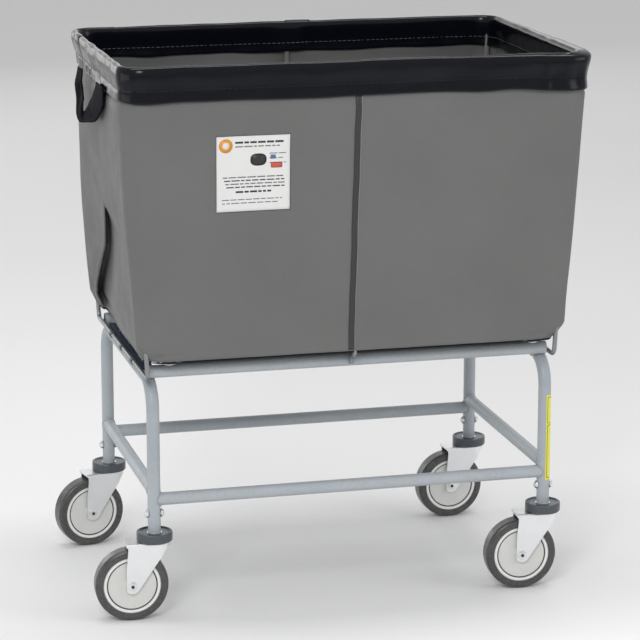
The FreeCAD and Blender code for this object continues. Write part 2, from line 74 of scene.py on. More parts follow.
BAND_LOW, BAND_HIGH = node_box("rim_band")
LINER_LOW, LINER_HIGH = node_box("liner")
RIM_X = BAND_HIGH[0]            # outside of the band, half length
RIM_Y = BAND_HIGH[1]            # outside of the band, half width
RIM_Z = BAND_HIGH[2]            # top of the band
BAND_BOTTOM_Z = BAND_LOW[2]
RIM_CORNER = 45.0
FLOOR_Z = LINER_LOW[2]          # underside of the liner's floor
LINER_TOP_Z = LINER_HIGH[2]
LINER_TOP_OFFSET = 2.3          # from the band's outside to the liner's outside
CLOTH = 1.2                     # thickness of the vinyl cloth

LEG_X = 350.75                  # the legs' axes
LEG_Y = 221.5
TUBE_R = 11.1
LOWER_RAIL_Z = 211.5
CROSSBAR_Z = 226.8
FLOOR_ROD_GAP = 92.0            # between the rods under the basket's floor

STAY_BASE = (361.3, 237.0, 426.9)       # a corner stay's bend, at the frame
STAY_TOP = (386.8, 245.8, 951.2)        # its top end, under the rim rod
CENTRE_STAY_LOW = (0.0, 239.4, 450.5)
CENTRE_STAY_TOP = (0.0, 256.5, 951.4)

FOLD_Z = 458.0                  # bottom fold of the liner's walls

# Half length, half width and corner radius of the liner at each height.
LINER_LEVELS = (
    (FLOOR_Z, 310.0, 176.0, 22.0),
    (446.0, 338.0, 197.0, 30.0),
    (FOLD_Z, 368.0, 246.5, 42.0),
    (482.0, 379.0, 247.4, 22.0),
    (700.0, 395.0, 255.0, 36.0),
    (BAND_BOTTOM_Z, RIM_X - LINER_TOP_OFFSET, RIM_Y - LINER_TOP_OFFSET, RIM_CORNER - LINER_TOP_OFFSET),
    (LINER_TOP_Z, RIM_X - LINER_TOP_OFFSET, RIM_Y - LINER_TOP_OFFSET, RIM_CORNER - LINER_TOP_OFFSET),
)


# ---- small maths --------------------------------------------------------------------------

def smooth(value, low, high):
    """0 below low, 1 above high and a smooth step between; low may be the larger."""
    t = np.clip((np.asarray(value, float) - low) / (high - low), 0, 1)
    return t * t * (3 - 2 * t)


def bell(value, centre, width):
    return np.exp(-(((np.asarray(value, float) - centre) / width) ** 2))


def ripple(points, size, seed, stretch=(1, 1, 1)):
    """Smooth noise near +-1: sine waves of about the given length in random directions."""
    terms = 14
    rng = np.random.default_rng(seed)
    total = np.zeros(points.shape[:-1])
    for _ in range(terms):
        direction = rng.normal(size=3)
        direction /= np.linalg.norm(direction)
        wave = direction * np.array(stretch) * TAU / (size * rng.uniform(0.7, 1.5))
        total += np.sin(points @ wave + rng.uniform(0, TAU))
    return total / math.sqrt(terms)


def stations(half, spacing):
    """Places from -half to half whose gaps follow the function spacing."""
    fine = np.linspace(-half, half, 3001)
    middle = (fine[1:] + fine[:-1]) / 2
    count = np.concatenate([[0], np.cumsum(np.diff(fine) / spacing(middle))])
    return np.interp(np.linspace(0, count[-1], int(round(count[-1])) + 1), count, fine)


# ---- mesh helpers -------------------------------------------------------------------------

def mesh_piece(name, points, faces, material, body="cart", slot=None):
    """A smooth mesh from points in millimetres, riding on a body."""
    mesh = bpy.data.meshes.new(name)
    mesh.from_pydata((np.asarray(points, float).reshape(-1, 3) * MM).tolist(), [], faces)
    mesh.validate()
    mesh.update()
    mesh.polygons.foreach_set("use_smooth", [True] * len(mesh.polygons))
    mesh.materials.append(material)
    piece = bpy.data.objects.new(name, mesh)
    bpy.context.scene.collection.objects.link(piece)
    if body:
        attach(piece, body)
    return piece


def grid_faces(rows, cols, closed_rows=False, closed_cols=False):
    """Quads over a grid of points stored row by row."""
    faces = []
    for i in range(rows if closed_rows else rows - 1):
        for j in range(cols if closed_cols else cols - 1):
            a = i * cols + j
            b = i * cols + (j + 1) % cols
            down = ((i + 1) % rows) * cols
            faces.append((a, b, down + (j + 1) % cols, down + j))
    return faces


def slab(front, back):
    """Points and faces of a closed plate between two grids of points of the same size."""
    rows, cols = front.shape[:2]
    points = np.concatenate([front.reshape(-1, 3), back.reshape(-1, 3)])
    size = rows * cols
    faces = grid_faces(rows, cols)
    faces += [tuple(size + k for k in reversed(f)) for f in grid_faces(rows, cols)]
    edge = list(range(cols))
    edge += [i * cols + cols - 1 for i in range(1, rows)]
    edge += [(rows - 1) * cols + j for j in range(cols - 2, -1, -1)]
    edge += [i * cols for i in range(rows - 2, 0, -1)]
    for a, b in zip(edge, edge[1:] + edge[:1]):
        faces.append((b, a, size + a, size + b))
    return points, faces


def joined(parts):
    """Several (points, faces) pairs as one."""
    points = []
    faces = []
    start = 0
    for part_points, part_faces in parts:
        part_points = np.asarray(part_points, float).reshape(-1, 3)
        points.append(part_points)
        faces += [tuple(start + k for k in f) for f in part_faces]
        start += len(part_points)
    return np.concatenate(points), faces


def tube(path, radii, sides=10, closed=False, flat=1.0, up=(0, 0, 1)):
    """Points and faces of a round or flattened tube along a path."""
    path = np.asarray(path, float)
    count = len(path)
    radii = np.broadcast_to(np.asarray(radii, float), (count,))
    if closed:
        run = np.roll(path, -1, 0) - np.roll(path, 1, 0)
    else:
        run = np.gradient(path, axis=0)
    run /= np.linalg.norm(run, axis=1)[:, None]
    side = np.cross(run, up)
    side /= np.maximum(np.linalg.norm(side, axis=1), 1e-9)[:, None]
    lift = np.cross(side, run)
    angle = np.arange(sides) * TAU / sides
    ring = (
        side[:, None] * np.cos(angle)[None, :, None]
        + lift[:, None] * np.sin(angle)[None, :, None] * flat
    )
    points = (path[:, None] + ring * radii[:, None, None]).reshape(-1, 3)
    faces = grid_faces(count, sides, closed_rows=closed, closed_cols=True)
    if not closed:
        faces.append(tuple(range(sides)))
        faces.append(tuple((count - 1) * sides + k for k in reversed(range(sides))))
    return points, faces


def mended(piece, weld=0.02):
    """Joins points that coincide, and turns all faces to look outward."""
    work = bmesh.new()
    work.from_mesh(piece.data)
    bmesh.ops.remove_doubles(work, verts=work.verts, dist=weld * MM)
    bmesh.ops.recalc_face_normals(work, faces=work.faces)
    work.to_mesh(piece.data)
    work.free()
    piece.data.update()
    return piece


def thicken(piece, thickness):
    """Gives a sheet its thickness on the inside, as final mesh."""
    modifier = piece.modifiers.new("thickness", "SOLIDIFY")
    modifier.thickness = thickness * MM
    modifier.offset = -1.0
    modifier.use_even_offset = False
    depsgraph = bpy.context.evaluated_depsgraph_get()
    solid = bpy.data.meshes.new_from_object(piece.evaluated_get(depsgraph))
    piece.modifiers.clear()
    piece.data = solid
    return piece


# ---- materials ----------------------------------------------------------------------------

class Finish:
    """A node material with one Principled shader, built up step by step."""

    def __init__(self, name):
        self.material = bpy.data.materials.new(name)
        self.material.use_nodes = True
        self.tree = self.material.node_tree
        self.tree.nodes.clear()
        self.shader = self.add("ShaderNodeBsdfPrincipled")
        output = self.add("ShaderNodeOutputMaterial")
        self.tree.links.new(self.shader.outputs["BSDF"], output.inputs["Surface"])
        self.place = self.add("ShaderNodeTexCoord").outputs["Object"]
        self.height = None

    def add(self, kind, **inputs):
        node = self.tree.nodes.new(kind)
        for key, value in inputs.items():
            self.set(node.inputs[key.replace("_", " ")], value)
        return node

    def set(self, socket, value):
        if isinstance(value, bpy.types.NodeSocket):
            self.tree.links.new(value, socket)
        else:
            socket.default_value = value

    def noise(self, scale, detail=3.0, stretch=None):
        """Noise from 0 to 1; scale is features per metre."""
        place = self.place
        if stretch:
            mapping = self.add("ShaderNodeMapping", Vector=place, Scale=stretch)
            place = mapping.outputs["Vector"]
        node = self.add("ShaderNodeTexNoise", Vector=place, Scale=scale, Detail=detail, Roughness=0.55)
        return node.outputs["Fac"]

    def math(self, operation, a, b=0.0):
        node = self.add("ShaderNodeMath")
        node.operation = operation
        self.set(node.inputs[0], a)
        self.set(node.inputs[1], b)
        return node.outputs[0]

    def span(self, value, low, high, from_low=0.3, from_high=0.7):
        """Maps a 0..1 value to low..high, clamped."""
        node = self.add("ShaderNodeMapRange", Value=value)
        node.inputs["From Min"].default_value = from_low
        node.inputs["From Max"].default_value = from_high
        node.inputs["To Min"].default_value = low
        node.inputs["To Max"].default_value = high
        return node.outputs[0]

    def blend(self, share, a, b):
        """Colour a where share is 0 and b where it is 1."""
        node = self.add("ShaderNodeMix")
        node.data_type = "RGBA"
        self.set(node.inputs[0], share)
        for socket, value in ((node.inputs[6], a), (node.inputs[7], b)):
            if isinstance(value, bpy.types.NodeSocket):
                self.set(socket, value)
            else:
                socket.default_value = (*value[:3], 1.0)
        return node.outputs[2]

    def bump(self, value, depth):
        """Adds a bump whose full height is depth millimetres."""
        node = self.add("ShaderNodeBump", Height=value)
        node.inputs["Strength"].default_value = 1.0
        node.inputs["Distance"].default_value = depth * MM
        if self.height is not None:
            self.tree.links.new(self.height, node.inputs["Normal"])
        self.height = node.outputs["Normal"]
        self.tree.links.new(self.height, self.shader.inputs["Normal"])

    def done(self, **inputs):
        for key, value in inputs.items():
            self.set(self.shader.inputs[key.replace("_", " ")], value)
        return self.material


def shade(color, factor):
    return tuple(min(1.0, c * factor) for c in color)


def painted(name, color, rough=0.42, worn=(0.62, 0.64, 0.66), gloss=0.5):
    """Powder coat: orange peel, slight tone changes and rubbed edges."""
    f = Finish(name)
    tone = f.span(f.noise(9.0), 0.0, 1.0)
    base = f.blend(tone, shade(color, 0.93), shade(color, 1.05))
    wear = f.add("ShaderNodeNewGeometry").outputs["Pointiness"]
    edge = f.math("MULTIPLY", f.span(wear, 0.0, 0.35, 0.53, 0.6), f.noise(160.0))
    base = f.blend(edge, base, worn)
    f.bump(f.noise(900.0, 1.0), 0.03)
    f.bump(f.noise(2600.0, 1.0), 0.006)
    return f.done(Base_Color=base, Roughness=f.span(f.noise(30.0), rough - 0.05, rough + 0.06),
                  Specular_IOR_Level=gloss)


def metal(name, color, rough, brushed=(1, 1, 1), dull=0.12):
    """Zinc plate: cloudy tone, fine drawn lines, darker film in patches."""
    f = Finish(name)
    cloud = f.span(f.noise(38.0, 4.0), 0.0, 1.0)
    base = f.blend(cloud, shade(color, 1.0 - dull), color)
    line = f.noise(700.0, 2.0, brushed)
    f.bump(line, 0.008)
    roughness = f.math("ADD", f.span(cloud, rough, rough + 0.1, 0, 1), f.span(line, -0.03, 0.03))
    return f.done(Base_Color=base, Metallic=1.0, Roughness=roughness)


THREAD_PITCH = 1.9              # between the threads of the cloth under the vinyl


def vinyl(name, color, rough, weave=0.0, gloss=0.35, grain=0.02, tone=0.05):
    """Vinyl-coated cloth: embossed grain, the weave of the cloth below, rubbed patches."""
    f = Finish(name)
    patch = f.span(f.noise(5.0, 4.0), 0.0, 1.0)
    base = f.blend(patch, shade(color, 1 - tone), shade(color, 1 + tone))
    speck = f.span(f.noise(240.0, 3.0), 0.0, 1.0)
    base = f.blend(f.math("MULTIPLY", speck, 0.10), base, shade(color, 1.35))
    f.bump(f.noise(1400.0, 2.0), grain)
    f.bump(f.noise(60.0, 3.0), grain * 6)
    if weave:
        split = f.add("ShaderNodeSeparateXYZ", Vector=f.place)
        along = f.math("ADD", split.outputs[0], split.outputs[1])
        for thread in (along, split.outputs[2]):
            wave = f.math("SINE", f.math("MULTIPLY", thread, TAU / (THREAD_PITCH * MM)))
            f.bump(f.span(wave, 0.0, 1.0, -1, 1), weave)
    roughness = f.span(f.noise(22.0, 4.0), rough - 0.06, rough + 0.07)
    return f.done(Base_Color=base, Roughness=roughness, Specular_IOR_Level=gloss)


def moulded(name, color, rough, texture=0.02, tone=0.04):
    """Moulded plastic or rubber with a fine die texture."""
    f = Finish(name)
    cloud = f.span(f.noise(26.0, 4.0), 0.0, 1.0)
    base = f.blend(cloud, shade(color, 1 - tone), shade(color, 1 + tone))
    f.bump(f.noise(1100.0, 2.0), texture)
    return f.done(Base_Color=base, Roughness=f.span(f.noise(90.0), rough - 0.05, rough + 0.06))


def tyre_rubber():
    """Grey non-marking rubber: dusty, and scuffed paler on the tread."""
    f = Finish("tyre_rubber")
    cloud = f.span(f.noise(60.0, 5.0), 0.0, 1.0)
    base = f.blend(cloud, (0.050, 0.051, 0.051), (0.068, 0.068, 0.067))
    scuff = f.span(f.noise(330.0, 4.0), 0.0, 0.35, 0.55, 0.75)
    base = f.blend(scuff, base, (0.16, 0.16, 0.155))
    f.bump(f.noise(1500.0, 3.0), 0.03)
    return f.done(Base_Color=base, Roughness=f.span(cloud, 0.22, 0.34, 0, 1))


def card_white():
    """Printed film: faint paper tone."""
    f = Finish("label_card")
    base = f.blend(f.noise(30.0, 4.0), (0.67, 0.67, 0.67), (0.73, 0.73, 0.72))
    f.bump(f.noise(700.0, 2.0), 0.01)
    return f.done(Base_Color=base, Roughness=f.span(f.noise(50.0), 0.36, 0.5))


def ink(name, color):
    f = Finish(name)
    base = f.blend(f.noise(900.0, 2.0), shade(color, 0.85), shade(color, 1.1))
    return f.done(Base_Color=base, Roughness=f.span(f.noise(300.0), 0.38, 0.5))


def floor_finish():
    f = Finish("studio_floor")
    base = f.blend(f.noise(0.8, 3.0), (0.80, 0.80, 0.80), (0.83, 0.83, 0.83))
    return f.done(Base_Color=base, Roughness=0.65)


PAINT = painted("frame_paint", (0.335, 0.372, 0.400))
NAVY = painted("navy_paint", (0.018, 0.031, 0.060), 0.40, (0.10, 0.12, 0.16), 0.22)
ROD_ZINC = metal("zinc_rod", (0.30, 0.31, 0.32), 0.34, (0.2, 0.2, 0.05))
CLIP_ZINC = metal("zinc_clip", (0.20, 0.21, 0.22), 0.45)
BRIGHT_ZINC = metal("bright_zinc", (0.82, 0.83, 0.84), 0.26)
FORK_ZINC = metal("fork_zinc", (0.86, 0.87, 0.88), 0.34, (0.3, 0.3, 1.0), 0.05)
DISH_ZINC = metal("dish_zinc", (0.13, 0.145, 0.16), 0.30)
STEEL = metal("bearing_steel", (0.50, 0.50, 0.52), 0.30)
LINER_GREY = vinyl("liner_vinyl", (0.139, 0.140, 0.138), 0.50, weave=0.012, gloss=0.22)
SLEEVE_DARK = vinyl("sleeve_dark", (0.036, 0.037, 0.038), 0.42, weave=0.008)
# A lighter copy of the sleeve cloth: painted highlight for the seam beside the centre strip.
SLEEVE_PAINTED_HIGHLIGHT = vinyl("sleeve_painted_highlight", (0.19, 0.19, 0.195), 0.42, weave=0.008)
BAND_BLACK = vinyl("band_vinyl", (0.0022, 0.0028, 0.0056), 0.20, gloss=0.24, grain=0.006, tone=0.15)
STRAP_BLACK = vinyl("strap_vinyl", (0.0034, 0.0038, 0.0070), 0.55, gloss=0.01, grain=0.010, tone=0.15)
# Pale grey for the tucked cloth: lighter backing, and painted sheen for its bright crumpled highlights.
TUCK_BACKING_AND_SHEEN = vinyl("tuck_backing_and_painted_sheen", (0.42, 0.43, 0.44), 0.22, weave=0.004, gloss=0.8)
# Near-black cloth for the tube along the bottom fold: painted shadow for the gap under the liner.
PIPING_SHADOW = vinyl("piping_painted_shadow", (0.006, 0.006, 0.008), 0.36, gloss=0.2)
THREAD = moulded("thread", (0.23, 0.23, 0.24), 0.6, 0.05)
DARK_THREAD = moulded("dark_thread", (0.012, 0.012, 0.014), 0.5, 0.05)
CAP = moulded("cap_plastic", (0.060, 0.070, 0.083), 0.32)
PLUG = moulded("plug_plastic", (0.03, 0.03, 0.035), 0.5)
HUB = moulded("hub_plastic", (0.62, 0.62, 0.60), 0.36, 0.012, 0.03)
HUB_WHITE = moulded("hub_rim", (0.78, 0.78, 0.77), 0.34, 0.010, 0.02)
# Near-black for painted shade in recesses: the hub grooves and the hollow axle ends.
RECESS_SHADE = moulded("painted_recess_shade", (0.020, 0.020, 0.021), 0.6, 0.02)
TYRE = tyre_rubber()
CARD = card_white()
INK_DARK = ink("ink_dark", (0.02, 0.02, 0.022))
INK_GREY = ink("ink_grey", (0.16, 0.16, 0.17))
INK_AMBER = ink("ink_amber", (0.75, 0.30, 0.02))
INK_RED = ink("ink_red", (0.55, 0.09, 0.07))
INK_BLUE = ink("ink_blue", (0.10, 0.14, 0.32))
YELLOW = moulded("sticker_film", (0.74, 0.70, 0.055), 0.34, 0.008, 0.03)

CAD_FINISHES = {
    "frame_paint": PAINT,
    "navy_paint": NAVY,
    "zinc_rod": ROD_ZINC,
    "zinc_clip": CLIP_ZINC,
    "liner_vinyl": LINER_GREY,
    "band_vinyl": BAND_BLACK,
    "strap_vinyl": STRAP_BLACK,
    "label_card": CARD,
    "sticker_film": YELLOW,
    "plug_plastic": PLUG,
    "fastener_zinc": BRIGHT_ZINC,
    "bearing_steel": STEEL,
    "cap_plastic": CAP,
    "dish_zinc": DISH_ZINC,
    "fork_zinc": FORK_ZINC,
    "hub_plastic": HUB,
    "tyre_rubber": TYRE,
}


def finish_cad_nodes():
    """Each CAD node gets the finish of its slot in the record."""
    for row in frame["record"]["subparts"]:
        node = frame["nodes"][row["node"]]
        node.data.materials.clear()
        node.data.materials.append(CAD_FINISHES[row["material_slot"]])


# ---- outlines of basket and band ----------------------------------------------------------

FRONT, RIGHT, REAR, LEFT = range(4)


class Columns:
    """Columns of a closed rounded rectangle, anticlockwise from the front left corner.

    A column's place on an outline of half sizes hx, hy and corner radius r is
    (cx * (hx - r) + nx * r, cy * (hy - r) + ny * r), and (nx, ny) is its outward normal.
    """

    def __init__(self, shares, corner_steps):
        cx, cy, nx, ny, side = [], [], [], [], []
        ends = ((-1, -1), (1, -1), (1, 1), (-1, 1))
        for k in range(4):
            turn = math.radians(90 * k)
            normal = (math.sin(turn), -math.cos(turn))
            start, stop = ends[k], ends[(k + 1) % 4]
            for u in shares[k]:
                t = (u + 1) / 2
                cx.append(start[0] + (stop[0] - start[0]) * t)
                cy.append(start[1] + (stop[1] - start[1]) * t)
                nx.append(normal[0])
                ny.append(normal[1])
                side.append(k)
            for step in range(1, corner_steps):
                a = turn - math.pi / 2 + math.radians(90) * step / corner_steps
                cx.append(stop[0])
                cy.append(stop[1])
                nx.append(math.cos(a))
                ny.append(math.sin(a))
                side.append(k + 0.5)
        self.cx, self.cy, self.nx, self.ny = (np.array(v, float) for v in (cx, cy, nx, ny))
        self.side = np.array(side)
        self.count = len(cx)

    def place(self, hx, hy, r):
        """x and y of every column; hx, hy and r may be one value per row."""
        hx, hy, r = (np.asarray(v, float)[..., None] for v in (hx, hy, r))
        return self.cx * (hx - r) + self.nx * r, self.cy * (hy - r) + self.ny * r


def shares(half, spacing):
    return stations(half, spacing) / half


# ---- liner --------------------------------------------------------------------------------

FOLD_TOP_Z = 702.0              # where the deep fold in the left end wall begins
FOLD_GAP = 16.0                 # how far the flap stands off the wall under it
FOLD_POCKET = 40.0              # how far the wall runs on under the flap
FOLD_CLOTH = 60.0               # nominal width of wall that goes into the pocket
FOLD_RETURN = 190.0             # nominal width over which the wall in front comes back out
WALL_END_Y = -225.0             # front end of the left end wall, beyond its flat part
TUCK = 4.4                      # how far the wall draws in under the band
LONG_DRAW = 3.2                 # how far the taut long walls draw in between the stays
END_DRAW = 4.5                  # how far the taut end walls draw in at their middle
LOWER_LEFT_DRAW = 11.0          # how far the lower part of the left end wall is drawn in
FLOOR_SAG = 2.6                 # sag of the floor between its rods
FLOOR_EDGE_SAG = 1.2
STRIP_LEAN = 8.5                # how far the foot of a centre strip leans to the left


def slack_corner(x, y, z, top):
    """How far the slack front right corner hangs out along X, up to the given amount at the rim."""
    near = smooth(x, 250, 395) * smooth(y, 260, -210)
    return near * np.interp(z, [458, 520, 700, 800, 885, 915, 962], [2, 3, 3, 5.5, 9, 9.5, top])


def drawn_corner(x, y, z):
    """How far the rear left corner is pulled in along X below the rim rod."""
    near = smooth(-x, 335, 385) * smooth(y, -60, 160)
    return near * np.interp(z, [640, 760, 830, 882, 902, 925, 945, 955], [0, 3.5, 5.5, 9, 8, 5, 1, 0])


def liner_profile():
    """Height, half length, half width and corner radius of the liner, row by row."""
    levels = np.array(LINER_LEVELS)
    steps = np.hypot(np.diff(levels[:, 0]), np.diff(levels[:, 1]))
    reach = np.concatenate([[0], np.cumsum(steps)])
    fine = np.arange(0, reach[-1], 1.0)
    table = np.stack([np.interp(fine, reach, levels[:, k]) for k in range(4)], 1)
    # A short moving average rounds the folds at the bottom edge.
    width = 5
    kernel = np.ones(width) / width
    head = 2 * table[0] - table[width:0:-1]
    tail = 2 * table[-1] - table[-2:-width - 2:-1]
    padded = np.concatenate([head, table, tail])
    for _ in range(2):
        padded = np.stack([np.convolve(padded[:, k], kernel, "same") for k in range(4)], 1)
    table = padded[width:-width]
    gap = np.interp(fine, [0, 60, 100, 140, 200, 300, fine[-1]], [6, 3, 3, 5, 6, 9, 9])
    count = np.cumsum(1 / gap)
    picks = np.interp(np.linspace(count[0], count[-1], int(count[-1])), count, fine)
    return np.stack([np.interp(picks, fine, table[:, k]) for k in range(4)], 1)


def fold_edge_y(z):
    """Where the flap's folded edge lies along the left end wall at each height."""
    return np.interp(z, [440, 476, 500, 536, 567, 600, 640, 690, 720],
                     [192, 188, 176, 142, 102, 56, 30, 16, 16])


def fold_columns(y, z):
    """The left end wall's nominal place along Y, turned into place along Y and depth inward."""
    edge = fold_edge_y(z)
    nominal = edge - y          # 0 at the flap's folded edge, growing towards the front
    front_end = edge - WALL_END_Y
    knots = [-400.0, 0.0, FOLD_CLOTH * 0.08, FOLD_CLOTH * 0.46, FOLD_CLOTH * 0.54, FOLD_CLOTH]
    along = [400.0, 0.0, 1.5, FOLD_POCKET, FOLD_POCKET, 0.0]
    depth = [0.0, 0.0, 3.6, FOLD_GAP * 0.75, FOLD_GAP, FOLD_GAP]
    shifted = np.interp(nominal, knots, along)
    inward = np.interp(nominal, knots, depth)
    # In front of the pocket the wall runs on, and comes back out to its own plane.
    beyond = nominal > FOLD_CLOTH
    share = np.clip((nominal - FOLD_CLOTH) / np.maximum(front_end - FOLD_CLOTH, 1.0), 0, 1)
    shifted = np.where(beyond, -front_end * share, shifted)
    returned = smooth(nominal, FOLD_CLOTH, FOLD_CLOTH + FOLD_RETURN)
    inward = np.where(beyond, FOLD_GAP * (1 - returned), inward)
    return edge + shifted, inward


def liner_surface():
    """Rows of outside points of the liner's walls, with their columns."""
    def end_spacing(s):
        return 3.0 + 3.0 * smooth(-s, 100, 160) + 1.2 * smooth(s, 170, 190)

    def long_spacing(s):
        return 8.5 - 3.5 * smooth(np.abs(s), 300, 350) - 3.5 * bell(s, 0, 22)

    def plain_spacing(s):
        return 8.0 - 3.0 * smooth(np.abs(s), 180, 215)

    long_half = RIM_X - RIM_CORNER
    end_half = RIM_Y - RIM_CORNER
    columns = Columns(
        (
            shares(long_half, long_spacing),
            shares(end_half, plain_spacing),
            shares(long_half, long_spacing),
            shares(end_half, end_spacing),
        ),
        10,
    )
    profile = liner_profile()
    z = np.repeat(profile[:, :1], columns.count, 1)
    x, y = columns.place(profile[:, 1], profile[:, 2], profile[:, 3])
    nx = np.repeat(columns.nx[None], len(profile), 0)
    ny = np.repeat(columns.ny[None], len(profile), 0)
    side = np.repeat(columns.side[None], len(profile), 0)
    base = np.stack([x, y, z], -1)
    is_long = (side == FRONT) | (side == REAR)
    is_end = (side == RIGHT) | (side == LEFT)
    along = np.where(is_long, x, y)

    # Tight panels draw in between the stays, and stand straight under the band.
    height = smooth(z, 458, 560) * smooth(z, 900, 800)
    out = np.zeros_like(x)
    long_share = np.sin(math.pi * np.clip(np.abs(along) / 358, 0, 1)) ** 2
    end_share = np.cos(math.pi / 2 * np.clip(along / 218, -1, 1)) ** 2
    out -= np.where(is_long, LONG_DRAW * long_share, 0) * height
    out -= np.where(is_end, END_DRAW * end_share, 0) * height

    # Slow waves of slack cloth, and short puckers where the band is sewn on.
    calm = smooth(z, 462, 540) * smooth(z, 902, 880)
    out += 1.5 * ripple(base, 210, 3, (1, 1, 0.6)) * calm
    out += 0.35 * ripple(base, 75, 5, (1, 1, 0.45)) * calm
    out += 0.30 * ripple(base, 26, 7, (1, 1, 0.12)) * smooth(z, 850, 885) * smooth(z, 902, 892)

    # Creases that run up from the lower corners, and along the bottom edge.
    corner_share = smooth(np.abs(x), 290, 372) * smooth(np.abs(y), 160, 236)
    low = smooth(z, 620, 480)
    out += 1.2 * ripple(base, 34, 11, (1, 1, 0.22)) * corner_share * low
    out += 0.5 * ripple(base, 60, 13, (1, 1, 0.9)) * smooth(z, 520, 466) * smooth(z, 446, 456)
    crumple = smooth(np.abs(x), 275, 330) * smooth(y, -205, -238)
    crumple = crumple * smooth(z, 492, 466) * smooth(z, 446, 456)
    out += 1.7 * ripple(base, 15, 17, (1, 1, 1.3)) * crumple

    # Under the band the wall draws in, behind the band's outer leg.
    out -= TUCK * smooth(z, 886, 903)

    # The lower part of the left end wall is drawn in, and folds under a flap.
    left = side == LEFT
    fade_low = smooth(z, 446, 474)
    drawn = LOWER_LEFT_DRAW * smooth(z, 690, 500) * fade_low * smooth(y, -245, -190)
    drawn = drawn * smooth(fold_edge_y(z) + 50 - y, 0, 40)
    share = smooth(z, FOLD_TOP_Z, 640) * fade_low
    new_y, inward = fold_columns(y, z)
    amount = np.where(left, share, 0.0)
    y = y + (new_y - y) * amount
    out = out - np.where(left, drawn * (1 - 0.6 * share) + inward * share, 0.0)

    x = x + nx * out + slack_corner(x, y, z, 9.5) + drawn_corner(x, y, z)
    y = y + ny * out
    return np.stack([x, y, z], -1), columns, side


def floor_rings(boundary):
    """The floor, in rings from its edge to the line along its middle, sagging between the rods."""
    spine = np.clip(boundary[:, 0], -134.0, 134.0)
    floor_edge = LINER_LEVELS[0][2]
    rings = []
    for share in np.linspace(1, 0, 15)[1:]:
        ring = boundary.copy()
        ring[:, 0] = spine + (boundary[:, 0] - spine) * share
        ring[:, 1] = boundary[:, 1] * share
        off = np.abs(ring[:, 1])
        between = FLOOR_SAG * np.sin(math.pi * off / FLOOR_ROD_GAP) ** 2
        beside = FLOOR_EDGE_SAG * np.sin(math.pi * (off - FLOOR_ROD_GAP) / (floor_edge - FLOOR_ROD_GAP))
        sag = np.where(off > FLOOR_ROD_GAP, beside, between)
        ring[:, 2] = FLOOR_Z + 0.15 - sag * smooth(np.abs(ring[:, 0]), 312, 250)
        rings.append(ring)
    return rings


LINER_POINTS, LINER_COLUMNS, LINER_SIDES = liner_surface()


def liner_piece():
    """The sewn vinyl basket."""
    walls = LINER_POINTS[::-1]
    rings = floor_rings(LINER_POINTS[0])
    grid = np.concatenate([walls, np.stack(rings)])
    faces = grid_faces(len(grid), LINER_COLUMNS.count, closed_cols=True)
    piece = mesh_piece("liner_bag", grid, faces, LINER_GREY, None, "liner_vinyl")
    mended(piece, 0.05)
    thicken(piece, CLOTH)
    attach(piece, "cart")
    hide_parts("liner")
    return piece


def long_wall_y(x, z, side=FRONT):
    """Y of the liner's outside on a long wall, at x and z."""
    picked = np.where(LINER_COLUMNS.side == side)[0]
    rows = LINER_POINTS[:, picked]
    heights = rows[:, 0, 2]
    k = int(np.clip(np.searchsorted(heights, z) - 1, 0, len(heights) - 2))
    t = (z - heights[k]) / (heights[k + 1] - heights[k])
    order = np.argsort(rows[k, :, 0])
    low = np.interp(x, rows[k, order, 0], rows[k, order, 1])
    high = np.interp(x, rows[k + 1, order, 0], rows[k + 1, order, 1])
    return low + (high - low) * t


def centre_strip(side, name):
    """The sewn sleeve over the centre stay on a long wall: a dark strip with a light seam beside it,
    the seam's pale tone a painted highlight along the stay's ridge.
    """
    heights = np.concatenate([np.arange(461, 500, 4.0), np.arange(500, 914, 9.0)])
    out = -1 if side == FRONT else 1
    # Each ribbon: its edges across the strip, how high its crown stands, and its cloth.
    ribbons = (
        ("", -5.4, 4.2, 2.2, SLEEVE_DARK),
        # The seam's pale cloth is a painted highlight.
        ("_seam", 4.6, 6.6, 0.7, SLEEVE_PAINTED_HIGHLIGHT),
    )
    for suffix, left, right, crown, cloth in ribbons:
        rows = []
        backs = []
        for z in heights:
            lean = 0.35 * math.sin(z * 0.043) + 0.2 * math.sin(z * 0.11)
            lean -= STRIP_LEAN * float(np.clip((880 - z) / 400, 0, 1))
            row = []
            back = []
            for u in np.linspace(-1, 1, 9):
                x = (left + right) / 2 + u * (right - left) / 2 + lean
                wall = long_wall_y(x, z, side)
                rise = 0.5 + crown * math.sqrt(max(0.0, 1 - (u * 0.96) ** 2))
                row.append((x, wall + out * rise, z))
                back.append((x, wall - out * 0.4, z))
            rows.append(row)
            backs.append(back)
        points, faces = slab(np.array(rows), np.array(backs))
        mended(mesh_piece(name + suffix, points, faces, cloth, "cart", "liner_vinyl"))


def stay_sleeves():
    """Sleeves on the inside of the basket that hide the stays."""
    parts = []
    runs = []
    base, top = np.array(STAY_BASE), np.array(STAY_TOP)
    low, high = np.array(CENTRE_STAY_LOW), np.array(CENTRE_STAY_TOP)
    for sx in (-1, 1):
        for sy in (-1, 1):
            runs.append((base * (sx, sy, 1), top * (sx, sy, 1), 490.0))
    for sy in (-1, 1):
        runs.append((low * (1, sy, 1), high * (1, sy, 1), 492.0))
    for k, (start, stop, from_z) in enumerate(runs):
        heights = np.linspace(from_z, 938.0, 60)
        share = (heights - start[2]) / (stop[2] - start[2])
        path = start + (stop - start) * share[:, None]
        wobble = 0.3 * ripple(path + k * 300, 60, 31 + k)
        parts.append(tube(path, 5.3 + wobble * 0.5, 16, up=(0, 1, 0)))
    points, faces = joined(parts)
    return mended(mesh_piece("stay_sleeves", points, faces, LINER_GREY, "cart", "liner_vinyl"))


